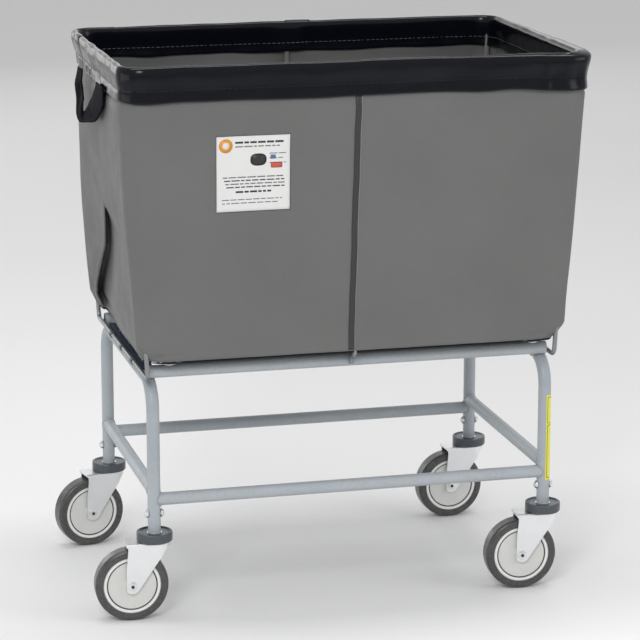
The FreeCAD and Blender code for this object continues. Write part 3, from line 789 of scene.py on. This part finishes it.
def bottom_shadow_piping():
    """The black tube along the bottom fold of the walls: painted shadow for the dark gap between the
    liner and the rail, drawn as piping.
    """
    heights = LINER_POINTS[:, 0, 2]
    row = int(np.argmin(np.abs(heights - (FOLD_Z - 1.0))))
    path = LINER_POINTS[row].copy()
    path[:, 2] -= 1.4
    spots = [0]
    for k in range(1, len(path)):
        if np.linalg.norm(path[k] - path[spots[-1]]) > 2.0:
            spots.append(k)
    points, faces = tube(path[spots], 1.9, 8, closed=True)
    return mended(mesh_piece("bottom_shadow_piping", points, faces, PIPING_SHADOW, "cart", "liner_vinyl"))


# ---- band ---------------------------------------------------------------------------------

STITCH_Z = 922.0
# Inward offset from the band's outside, and height, from the outer to the inner bottom edge.
BAND_OUTER = (
    (1.2, 902), (1.7, 908), (2.2, 915), (2.5, STITCH_Z), (1.9, 929), (0.9, 937), (0.35, 945),
    (0.5, 952), (1.6, 957.4), (4.4, 960.6), (8.2, 961.6), (12.0, 960.6), (14.8, 957.2),
)
# The inner leg over the stays, and where it is sewn down between them.
BAND_INNER_LOOSE = (
    (16.2, 951), (16.6, 943), (16.2, 935), (15.6, 928), (15.2, STITCH_Z), (15.8, 914), (16.3, 905.5),
)
BAND_INNER_SEWN = (
    (15.6, 951), (14.6, 943), (12.8, 935), (11.4, 928), (10.6, STITCH_Z), (11.0, 914), (11.6, 905.5),
)
STITCH_OUT = 3                  # index of the sewing line in the outer part of the section
STITCH_IN = len(BAND_OUTER) + 4
STITCH_PITCH = 9.0
STITCH_LENGTH = 5.8
STITCH_R = 0.5


def band_columns():
    def long_spacing(s):
        return 3.8 - 1.2 * smooth(np.abs(s), 240, 330)

    def end_spacing(s):
        return np.full_like(s, 2.6)

    long_shares = shares(RIM_X - RIM_CORNER, long_spacing)
    end_shares = shares(RIM_Y - RIM_CORNER, end_spacing)
    return Columns((long_shares, end_shares) * 2, 14)


def band_surface():
    """Points of the band's cloth, section points by columns, with unit normals."""
    columns = band_columns()
    x0, y0 = columns.place(RIM_X, RIM_Y, RIM_CORNER)
    # The inner leg is sewn close to the liner and stands over the stays.
    stay_xy = [(sx * STAY_TOP[0], sy * STAY_TOP[1]) for sx in (-1, 1) for sy in (-1, 1)]
    stay_xy += [(0, -CENTRE_STAY_TOP[1]), (0, CENTRE_STAY_TOP[1])]
    near = np.zeros(columns.count)
    for sx, sy in stay_xy:
        near = np.maximum(near, bell(np.hypot(x0 - sx, y0 - sy), 17.0, 17.0))
        near = np.maximum(near, smooth(np.hypot(x0 - sx, y0 - sy), 36, 19))
    loose = np.array(BAND_OUTER + BAND_INNER_LOOSE)
    sewn = np.array(BAND_OUTER + BAND_INNER_SEWN)
    # Finer steps along the section, through both shapes alike.
    steps = np.concatenate([[0], np.cumsum(np.hypot(*np.diff(loose, axis=0).T))])
    fine = np.sort(np.concatenate([steps, (steps[1:] + steps[:-1]) / 2]))
    loose = np.stack([np.interp(fine, steps, loose[:, k]) for k in range(2)], 1)
    sewn = np.stack([np.interp(fine, steps, sewn[:, k]) for k in range(2)], 1)
    for _ in range(2):
        for table in (loose, sewn):
            table[1:-1] = table[1:-1] * 0.5 + (table[2:] + table[:-2]) * 0.25
    section = sewn[:, None] + (loose - sewn)[:, None] * near[None, :, None]
    offset, z = section[..., 0], section[..., 1]
    gradient = np.gradient(section, axis=0)
    length = np.maximum(np.hypot(gradient[..., 0], gradient[..., 1]), 1e-6)
    # Outward of the fold: away from the rod, in (inward offset, height).
    out_offset, out_z = -gradient[..., 1] / length, gradient[..., 0] / length
    x = x0 - columns.nx * offset
    y = y0 - columns.ny * offset
    base = np.stack([x, y, z], -1)

    outer = np.arange(len(fine))[:, None] < 2 * len(BAND_OUTER) - 7
    low = smooth(z, 950, 918)
    left = smooth(-x, 372, 398)
    front_right = bell(x, 352, 60) * smooth(-y, 230, 258)
    corners = smooth(np.abs(x), 340, 385) * smooth(np.abs(y), 200, 245)
    rear_left = bell(x, -355, 55) * smooth(y, 225, 250)
    push = 0.75 * ripple(base, 150, 41, (1, 1, 1.6)) + 0.35 * ripple(base, 62, 43, (1, 1, 1.2))
    gathers = ripple(base, 24, 47, (1, 1, 0.22))
    creases = np.exp(-(ripple(base, 150, 53, (1, 1, 0.9)) / 0.055) ** 2)
    amount = 0.14 + 0.20 * left + 1.5 * front_right + 0.4 * corners + 1.6 * rear_left
    push += gathers * amount * (0.15 + 0.85 * low)
    push -= 1.5 * creases * (0.9 * left + 0.8 * rear_left + 0.4 * front_right)
    push += 0.55 * ripple(base, 46, 61, (1, 1, 0.5)) * left
    # The sewing line draws a groove along the left end.
    push -= 1.3 * bell(z, STITCH_Z, 2.6) * left
    pucker = np.cos(TAU * (x0 + y0) / 11.0) * bell(z, STITCH_Z, 7)
    push += 0.16 * pucker
    push *= np.where(outer, 1.0, 0.8)
    x = x + columns.nx * (-out_offset) * push
    y = y + columns.ny * (-out_offset) * push
    lift = out_z * push
    hem = 1.4 * ripple(base, 90, 59) * smooth(z, 925, 903)
    hem -= 5.0 * smooth(x, 250, 395) * smooth(y, -120, -250) * smooth(z, 935, 903)
    # The outside of the loose front right corner hangs off the rod.
    freed = np.clip((15.0 - offset) / 13.0, 0, 1) * np.where(outer, 1.0, 0.0)
    shoulder = 4.5 * smooth(x, 150, 390) * smooth(y, -200, -258)
    shoulder = shoulder * bell(offset, 1.5, 4.5) * smooth(z, 930, 956)
    x = x + slack_corner(x, y, z, 17.0) * freed + drawn_corner(x, y, z)
    y = y - 5.0 * smooth(x, 180, 380) * smooth(y, -210, -255) * freed
    z = np.minimum(z + lift + hem - shoulder, RIM_Z + 2.0)
    normal = np.stack([columns.nx * out_offset, columns.ny * out_offset, out_z], -1)
    return np.stack([x, y, z], -1), normal, columns


BAND_POINTS, BAND_NORMALS, BAND_COLUMNS = band_surface()


def band_piece():
    """The gloss band, folded over the rim rod and sewn to the liner."""
    rows, cols = BAND_POINTS.shape[:2]
    faces = grid_faces(rows, cols, closed_cols=True)
    piece = mesh_piece("rim_binding", BAND_POINTS, faces, BAND_BLACK, None, "band_vinyl")
    mended(piece)
    thicken(piece, CLOTH)
    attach(piece, "cart")
    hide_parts("rim_band")
    return piece


def band_overlap():
    """The end of the band's strip, lapped over its beginning at the rear."""
    picked = np.where((BAND_COLUMNS.side == REAR) & (np.abs(BAND_POINTS[0, :, 0] - 22) < 24))[0]
    patch = BAND_POINTS[:, picked]
    normal = BAND_NORMALS[:, picked]
    outer = patch + normal * 1.5
    inner = patch + normal * 0.2
    points, faces = slab(outer, inner)
    return mended(mesh_piece("band_lap", points, faces, BAND_BLACK, "cart", "band_vinyl"))


def stitch(centre, along, normal, length, radius):
    """One raised stitch: a small bead, longer than wide."""
    along = np.asarray(along) / np.linalg.norm(along)
    normal = np.asarray(normal) / np.linalg.norm(normal)
    path = []
    for t in (-1, -0.6, 0, 0.6, 1):
        path.append(centre + along * (length / 2 * t) + normal * radius * (0.7 - 0.9 * t * t))
    radii = radius * np.array([0.35, 0.9, 1, 0.9, 0.35])
    return tube(path, radii, 6, up=normal)


def stitch_row(row):
    """Stitches along one line of the band's section."""
    line = BAND_POINTS[row]
    normals = BAND_NORMALS[row]
    steps = np.linalg.norm(np.roll(line, -1, 0) - line, axis=1)
    reach = np.concatenate([[0], np.cumsum(steps)])
    closed = np.concatenate([line, line[:1]])
    closed_normals = np.concatenate([normals, normals[:1]])
    count = int(reach[-1] / STITCH_PITCH)
    parts = []
    for k in range(count):
        s = (k + 0.5) * reach[-1] / count
        here, ahead, normal = (
            np.array([np.interp(v, reach, table[:, a]) for a in range(3)])
            for v, table in ((s, closed), (s + 1.0, closed), (s, closed_normals))
        )
        if np.linalg.norm(ahead - here) < 1e-6:
            continue
        parts.append(stitch(here + normal * 0.1, ahead - here, normal, STITCH_LENGTH, STITCH_R))
    return joined(parts)


def band_stitches():
    points, faces = stitch_row(2 * STITCH_IN)
    mesh_piece("inner_stitching", points, faces, THREAD, "cart", "band_vinyl")
    points, faces = stitch_row(2 * STITCH_OUT)
    mesh_piece("outer_stitching", points, faces, DARK_THREAD, "cart", "band_vinyl")


def strap_seams():
    """The heavy sewn line that holds the strap ends under the band, on both ends."""
    row = 2 * STITCH_OUT
    parts = []
    for side in (LEFT, RIGHT):
        picked = np.where((BAND_COLUMNS.side == side) & (BAND_POINTS[row, :, 1] > -112)
                          & (BAND_POINTS[row, :, 1] < 152))[0]
        path = BAND_POINTS[row, picked] + BAND_NORMALS[row, picked] * 0.35
        parts.append(tube(path[::2], 0.75, 6))
    return mended(mesh_piece("strap_seams", *joined(parts), DARK_THREAD, "cart", "band_vinyl"))


# ---- strap handles ------------------------------------------------------------------------

# The two edges of the strap on the left end, from its front end to its rear end: each station is
# Y, Z and how far that edge stands out from the band, for the upper and then the lower edge.
STRAP_EDGES = (
    ((-41, 908, 1), (-112, 910, 1)),
    ((-36, 897, 2), (-116, 896, 2)),
    ((-14, 880, 3), (-114, 878, 3)),
    ((18, 862, 4), (-88, 858, 4)),
    ((44, 847, 5), (-42, 839, 5)),
    ((55, 842, 7), (14, 829, 8)),
    ((56, 850, 8), (66, 822, 13)),
    ((48, 864, 8), (92, 832, 14)),
    ((62, 878, 7), (92, 858, 13)),
    ((82, 890, 5), (110, 882, 13)),
    ((96, 900, 2), (136, 894, 5)),
    ((102, 910, 1), (142, 909, 1)),
)
STRAP_SPACING = 3.0


def spline(points, count):
    """A smooth line through the points, evenly sampled."""
    points = np.asarray(points, float)
    table = []
    padded = np.concatenate([[2 * points[0] - points[1]], points, [2 * points[-1] - points[-2]]])
    for a, b, c, d in zip(padded, padded[1:], padded[2:], padded[3:]):
        for t in np.linspace(0, 1, 12, endpoint=False):
            table.append(
                0.5 * (2 * b + (c - a) * t + (2 * a - 5 * b + 4 * c - d) * t * t
                       + (3 * b - a - 3 * c + d) * t ** 3)
            )
    table.append(points[-1])
    table = np.array(table)
    reach = np.concatenate([[0], np.cumsum(np.linalg.norm(np.diff(table, axis=0), axis=1))])
    even = np.linspace(0, reach[-1], count)
    return np.stack([np.interp(even, reach, table[:, k]) for k in range(3)], 1)


def bend_at_seam(piece):
    """Bakes the piece's place and turn into its mesh."""
    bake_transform(piece)


def strap_handle(side, name, node):
    """A limp loop of flat strap that hangs from under the band."""
    edges = np.array(STRAP_EDGES, float)
    middle = edges.mean(axis=1)
    length = np.sum(np.linalg.norm(np.diff(middle, axis=0), axis=1))
    count = int(length / STRAP_SPACING)
    samples = 12 * (len(edges) - 1) + 1
    upper, lower = (spline(edges[:, k], samples) for k in (0, 1))
    picks = np.linspace(0, len(upper) - 1, count)
    rows = np.arange(len(upper))
    upper, lower = (
        np.stack([np.interp(picks, rows, table[:, a]) for a in range(3)], 1) for table in (upper, lower)
    )
    across = np.linspace(-1, 1, 15)
    outer = np.zeros((count, len(across), 3))
    for i in range(count):
        for j, u in enumerate(across):
            y, z, out = upper[i] + (lower[i] - upper[i]) * (u + 1) / 2
            share = i / (count - 1)
            out += 1.1 * (1 - u * u) + 0.35 * math.sin(5.1 * share * TAU + u * 2.0)
            outer[i, j] = (side * (RIM_X + max(0.5, out)), y, z)
    along = np.gradient(outer, axis=0)
    wide = np.gradient(outer, axis=1)
    normals = np.cross(along, wide)
    normals /= np.maximum(np.linalg.norm(normals, axis=2), 1e-9)[..., None]
    if np.sum(normals[..., 0]) * side < 0:
        normals = -normals
    thick = 1.1 + 0.5 * smooth(np.abs(across), 0.86, 0.93)
    inner = outer - normals * thick[None, :, None]
    points, faces = slab(outer + normals * (thick - 1.1)[None, :, None], inner)
    piece = mended(mesh_piece(name, points, faces, STRAP_BLACK, None, "strap_vinyl"))
    bend_at_seam(piece)
    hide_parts(node)
    stitches = []
    for u_index in (2, 12):
        for i in range(3, count - 3, 3):
            spot = outer[i, u_index] + normals[i, u_index] * 0.2
            stitches.append(stitch(spot, along[i, u_index], normals[i, u_index], 4.2, 0.4))
    points, faces = joined(stitches)
    thread = mesh_piece(name + "_stitching", points, faces, DARK_THREAD, None, "strap_vinyl")
    bend_at_seam(thread)


# ---- label and sticker --------------------------------------------------------------------

def wall_patch(x_range, z_range, offset, steps):
    """A grid of points over part of the front wall, that far in front of it."""
    xs = np.linspace(*x_range, steps[0])
    zs = np.linspace(*z_range, steps[1])
    return np.array([[(x, long_wall_y(x, z) - offset, z) for x in xs] for z in zs])


def plate(x_range, z_range, low, high, steps=(2, 2)):
    return slab(wall_patch(x_range, z_range, high, steps), wall_patch(x_range, z_range, low, steps))


def round_mark(centre, size, low, high, power=2.0):
    """A closed flat mark on the front wall: round at power 2 and squarer above it."""
    sides = 28
    parts = []
    for offset in (high, low):
        ring = [(centre[0], long_wall_y(*centre) - offset, centre[1])]
        for k in range(sides):
            a = TAU * k / sides
            c, s = math.cos(a), math.sin(a)
            x = centre[0] + size[0] * math.copysign(abs(c) ** (2 / power), c)
            z = centre[1] + size[1] * math.copysign(abs(s) ** (2 / power), s)
            ring.append((x, long_wall_y(x, z) - offset, z))
        parts.append(ring)
    points = np.array(parts).reshape(-1, 3)
    faces = []
    n = sides + 1
    for k in range(sides):
        a, b = 1 + k, 1 + (k + 1) % sides
        faces.append((0, a, b))
        faces.append((n, n + b, n + a))
        faces.append((a, n + a, n + b, b))
    return points, faces


def label():
    """A plain card with generic marks and bars where print would be."""
    low, high = node_box("front_label")
    x0, x1, z0, z1 = low[0], high[0], low[2], high[2]
    card_front = 0.75
    card = mesh_piece("label_card", *plate((x0, x1), (z0, z1), -0.3, card_front, (20, 20)), CARD,
                      "cart", "label_card")
    mended(card)
    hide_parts("front_label")
    print_low, print_high = card_front - 0.1, card_front + 0.07
    dark = []
    grey = []
    rng = np.random.default_rng(9)
    edge = 0.9
    for spans in (((x0, x1), (z0, z0 + edge)), ((x0, x1), (z1 - edge, z1)),
                  ((x0, x0 + edge), (z0 + edge, z1 - edge)), ((x1 - edge, x1), (z0 + edge, z1 - edge))):
        dark.append(plate(*spans, print_low, print_high, (20, 2) if spans[0] == (x0, x1) else (2, 20)))

    def words(z, left, right, height, into):
        """A broken bar that stands for a line of print."""
        x = left
        while x < right - 3:
            width = min(rng.uniform(5, 15), right - x)
            rise = (z - height / 2, z + height / 2)
            into.append(plate((x, x + width), rise, print_low, print_high, (3, 2)))
            x += width + 2.2

    words(z1 - 12, x0 + 33, x1 - 8, 3.4, dark)
    words(z1 - 19, x0 + 33, x1 - 14, 2.0, grey)
    for k in range(3):
        words(z1 - 32 - k * 8, x0 + 92, x1 - 8, 1.5, grey)
    for k in range(4):
        words(z1 - 71 - k * 5.6, x0 + 12 + 2 * k, x1 - 10, 2.0, dark if k in (1, 3) else grey)
    words(z1 - 96, x0 + 34, x1 - 30, 3.2, dark)
    for k in range(2):
        words(z0 + 21 - k * 6, x0 + 10, x1 - 14 - 8 * k, 1.6, grey)
    spots = (
        ("label_disc", (x0 + 17, z1 - 17), (12, 12), 2.0, INK_AMBER),
        ("label_blob", (x0 + 73, z1 - 42), (14, 10.5), 2.6, INK_DARK),
        ("label_patch_red", (x0 + 104, z1 - 52), (10, 5), 8.0, INK_RED),
        ("label_patch_blue", (x0 + 98, z1 - 38), (4.5, 3.6), 8.0, INK_BLUE),
    )
    for name, centre, size, power, paint in spots:
        mark = round_mark(centre, size, print_low, print_high, power)
        mesh_piece(name, *mark, paint, "cart", "label_card")
    mark = round_mark(spots[0][1], (6, 6), print_low, print_high + 0.05)
    mesh_piece("label_disc_middle", *mark, CARD, "cart", "label_card")
    mesh_piece("label_lines_dark", *joined(dark), INK_DARK, "cart", "label_card")
    mesh_piece("label_lines_grey", *joined(grey), INK_GREY, "cart", "label_card")


STICKER_TURN = -24.0            # middle of the sticker round the leg, from +X


def sticker_outline():
    """Thin printed frames on the leg's yellow strip."""
    low, high = node_box("leg_sticker")
    radius = TUBE_R + 0.3
    parts = []

    def band(a0, a1, z0, z1):
        angles = np.radians(np.linspace(a0, a1, max(2, int(abs(a1 - a0) / 6) + 1)))
        grids = []
        for r in (radius + 0.07, radius - 0.1):
            grids.append(np.array([
                [(LEG_X + r * math.cos(a), -LEG_Y + r * math.sin(a), z) for a in angles]
                for z in (z0, z1)
            ]))
        parts.append(slab(*grids))

    split = low[2] + (high[2] - low[2]) * 0.66
    inset = 4.0
    for z0, z1 in ((low[2] + inset, split - 2), (split + 2, high[2] - inset)):
        for z in (z0, z1):
            band(STICKER_TURN - 52, STICKER_TURN + 52, z - 0.5, z + 0.5)
        for a in (STICKER_TURN - 52, STICKER_TURN + 52):
            band(a - 2.5, a + 2.5, z0, z1)
    points, faces = joined(parts)
    mesh_piece("sticker_lines", points, faces, INK_DARK, "cart", "sticker_film")


# ---- welds on the frame -------------------------------------------------------------------

def saddle_bead(centre, axis, toward, seed):
    """A weld bead where a tube along axis (0 = X, 1 = Y) meets a leg; toward is the tube's side."""
    rng = np.random.default_rng(seed)
    count = 56
    radii = []
    path = []
    for k in range(count):
        a = TAU * k / count
        wide = TUBE_R * math.cos(a)
        high = TUBE_R * math.sin(a)
        off = toward * math.sqrt(max(0.0, (TUBE_R + 0.6) ** 2 - wide * wide))
        point = np.array(centre, float)
        point[axis] += off
        point[1 - axis] += wide * 1.03
        point[2] += high * 1.03
        path.append(point)
        radii.append(1.35 + 0.22 * math.cos(TAU * k / 3.5) + rng.uniform(-0.1, 0.1))
    return tube(path, radii, 8, closed=True)


def welds():
    parts = []
    seed = 100
    for sx in (-1, 1):
        for sy in (-1, 1):
            seed += 2
            parts.append(saddle_bead((sx * LEG_X, sy * LEG_Y, LOWER_RAIL_Z), 0, -sx, seed))
            parts.append(saddle_bead((sx * LEG_X, sy * LEG_Y, CROSSBAR_Z), 1, -sy, seed + 1))
    points, faces = joined(parts)
    return mesh_piece("frame_welds", points, faces, PAINT, "cart", "frame_paint")


# ---- caster details -----------------------------------------------------------------------

WHEEL_R = 63.5
TRAIL = 41.5                    # from the leg's axis back to the wheel's axis
FORK_FACE = 21.5                # from the middle of the wheel to the fork's outer face
GROOVE_R = 43.0                 # groove and raised ring on the wheel's hub
GROOVE_FACE = 13.5
RING_R = 46.7
RING_FACE = 15.15
# Each caster: which way along X and Y from the middle of the frame, and its rest angle.
CASTERS = {
    "front_left": (-1, -1, -3.0),
    "front_right": (1, -1, -3.0),
    "rear_left": (-1, 1, 11.5),
    "rear_right": (1, 1, 3.0),
}


def hoop_ring(centre, axis, radius, section, flat):
    """A closed ring about an axis; flat squashes its section along the axis."""
    axis = np.asarray(axis, float)
    lift = np.array([0.0, 0.0, 1.0])
    side = np.cross(axis, lift)
    angle = np.arange(72) * TAU / 72
    path = centre + radius * (np.cos(angle)[:, None] * side + np.sin(angle)[:, None] * lift)
    return tube(path, section, 8, closed=True, flat=flat, up=axis)


def caster_details():
    """The dark ring in each hub's groove and the dark plug in each axle's ends, both painted shade in
    those recesses, and the pale ring on each hub.
    """
    for name, (sx, sy, turn) in CASTERS.items():
        a = math.radians(turn)
        axis = np.array([-math.sin(a), math.cos(a), 0.0])
        centre = np.array([sx * LEG_X - TRAIL * math.cos(a), sy * LEG_Y - TRAIL * math.sin(a), WHEEL_R])
        groove_shades = []
        rings = []
        hollow_shades = []
        for face in (-1, 1):
            groove_shades.append(hoop_ring(centre + axis * face * GROOVE_FACE, axis, GROOVE_R, 1.05, 1.0))
            rings.append(hoop_ring(centre + axis * face * RING_FACE, axis, RING_R, 2.1, 0.22))
            start = centre + axis * face * (FORK_FACE - 1.0)
            stop = centre + axis * face * (FORK_FACE + 2.75)
            hollow_shades.append(tube([start, stop], 2.9, 16, up=(0, 0, 1)))
        # The dark groove rings and the dark axle plugs are painted shade.
        mesh_piece(name + "_hub_groove_shade", *joined(groove_shades), RECESS_SHADE, name + "_wheel", "hub_plastic")
        mesh_piece(name + "_hub_ring", *joined(rings), HUB_WHITE, name + "_wheel", "hub_plastic")
        mesh_piece(name + "_axle_hollow_shade", *joined(hollow_shades), RECESS_SHADE, name + "_swivel", "fastener_zinc")


# ---- bottom corners -----------------------------------------------------------------------

def corner_tuck(sx, sy, seed):
    """The crumpled end of the floor cloth, tucked under a corner of the basket; its pale glossy grey is
    partly the cloth's lighter backing and partly painted sheen for the bright highlights in the
    crumples.
    """
    rows, cols = 9, 64
    points = np.zeros((rows, cols, 3))
    for j in range(cols):
        t = j / (cols - 1)
        x = 300 + 54 * t
        lifted = 457.0 + 15.0 * float(smooth(t, 0.35, 1.0))
        for i in range(rows):
            u = i / (rows - 1)
            points[i, j] = (x, 243.0 - 5.0 * u - 6.0 * t * t, lifted - (1.0 + 16.0 * t) * u)
    wave = ripple(points + seed * 100, 9.0, seed, (1, 1, 1.3)) * 1.7
    wave += ripple(points + seed * 100, 16, seed + 1, (1.2, 1, 0.5)) * 1.3
    fade = smooth(points[..., 0], 298, 325)
    points[..., 1] += wave * fade
    points[..., 2] += 0.35 * wave * fade
    front = points * (sx, sy, 1)
    back = front - np.array([0, sy * 1.0, 0])
    return slab(front, back)


def corner_tucks():
    parts = []
    seed = 60
    for sx in (-1, 1):
        for sy in (-1, 1):
            seed += 3
            parts.append(corner_tuck(sx, sy, seed))
    piece = mesh_piece("corner_tucks", *joined(parts), TUCK_BACKING_AND_SHEEN, "cart", "liner_vinyl")
    return mended(piece)


# ---- studio -------------------------------------------------------------------------------

STUDIO_HALF = 40.0              # metres, half width of the floor
# Each soft light in metres: its place, what it faces, its size and its power in watts.
LIGHTS = (
    ("key", (-1.7, -3.3, 3.0), (0, 0, 0.5), (1.3, 1.3), 67),
    ("fill", (3.2, -2.2, 1.8), (0, 0, 0.5), (2.0, 2.0), 26),
    ("top", (0.0, 0.1, 3.3), (0, 0, 0.6), (3.0, 0.6), 44),
    ("back_left", (-2.1, 4.8, 0.95), (-0.4, 0, 0.9), (1.8, 1.4), 11),
    ("low_left", (-3.4, -0.3, 0.6), (-0.4, -0.25, 0.6), (2.4, 0.8), 6),
    ("back_card", (0.0, 6.0, 2.1), (0.0, 0, 0.93), (6.0, 1.8), 24),
)
CAMERA_PLACE = (-1.2219, -4.7937, 1.6409)       # metres
CAMERA_DOWN = 13.48             # degrees below level
CAMERA_TURN = 14.29             # degrees from +Y towards +X
CAMERA_LENS = 159.3


def studio_floor():
    mesh = bpy.data.meshes.new("studio_floor")
    half = STUDIO_HALF
    corners = [(-half, -half, 0), (half, -half, 0), (half, half, 0), (-half, half, 0)]
    mesh.from_pydata(corners, [], [(0, 1, 2, 3)])
    floor = bpy.data.objects.new("studio_floor", mesh)
    bpy.context.scene.collection.objects.link(floor)
    mesh.materials.append(floor_finish())


def studio_lights():
    world = bpy.data.worlds.new("studio")
    bpy.context.scene.world = world
    world.use_nodes = True
    background = world.node_tree.nodes["Background"]
    background.inputs["Color"].default_value = (1.0, 1.0, 1.0, 1.0)
    background.inputs["Strength"].default_value = 0.60
    for name, place, target, size, power in LIGHTS:
        light = bpy.data.lights.new(name, "AREA")
        light.shape = "RECTANGLE"
        light.size, light.size_y = size
        light.energy = power
        lamp = bpy.data.objects.new(name, light)
        lamp.location = place
        lamp.rotation_euler = (Vector(target) - Vector(place)).to_track_quat("-Z", "Y").to_euler()
        lamp.visible_camera = False
        bpy.context.scene.collection.objects.link(lamp)


def studio_camera():
    camera = bpy.data.cameras.new("camera")
    camera.sensor_width = 36.0
    camera.lens = CAMERA_LENS
    camera.clip_end = 100.0
    shooter = bpy.data.objects.new("camera", camera)
    shooter.location = CAMERA_PLACE
    shooter.rotation_euler = (math.radians(90 - CAMERA_DOWN), 0.0, math.radians(-CAMERA_TURN))
    bpy.context.scene.collection.objects.link(shooter)
    bpy.context.scene.camera = shooter
    bpy.context.scene.view_settings.view_transform = "Standard"


finish_cad_nodes()
liner_piece()
centre_strip(FRONT, "front_stay_strip")
centre_strip(REAR, "rear_stay_strip")
stay_sleeves()
bottom_shadow_piping()
band_piece()
band_overlap()
band_stitches()
strap_seams()
strap_handle(-1, "left_strap", "left_handle")
strap_handle(1, "right_strap", "right_handle")
label()
sticker_outline()
welds()
caster_details()
corner_tucks()
studio_floor()
studio_lights()
studio_camera()
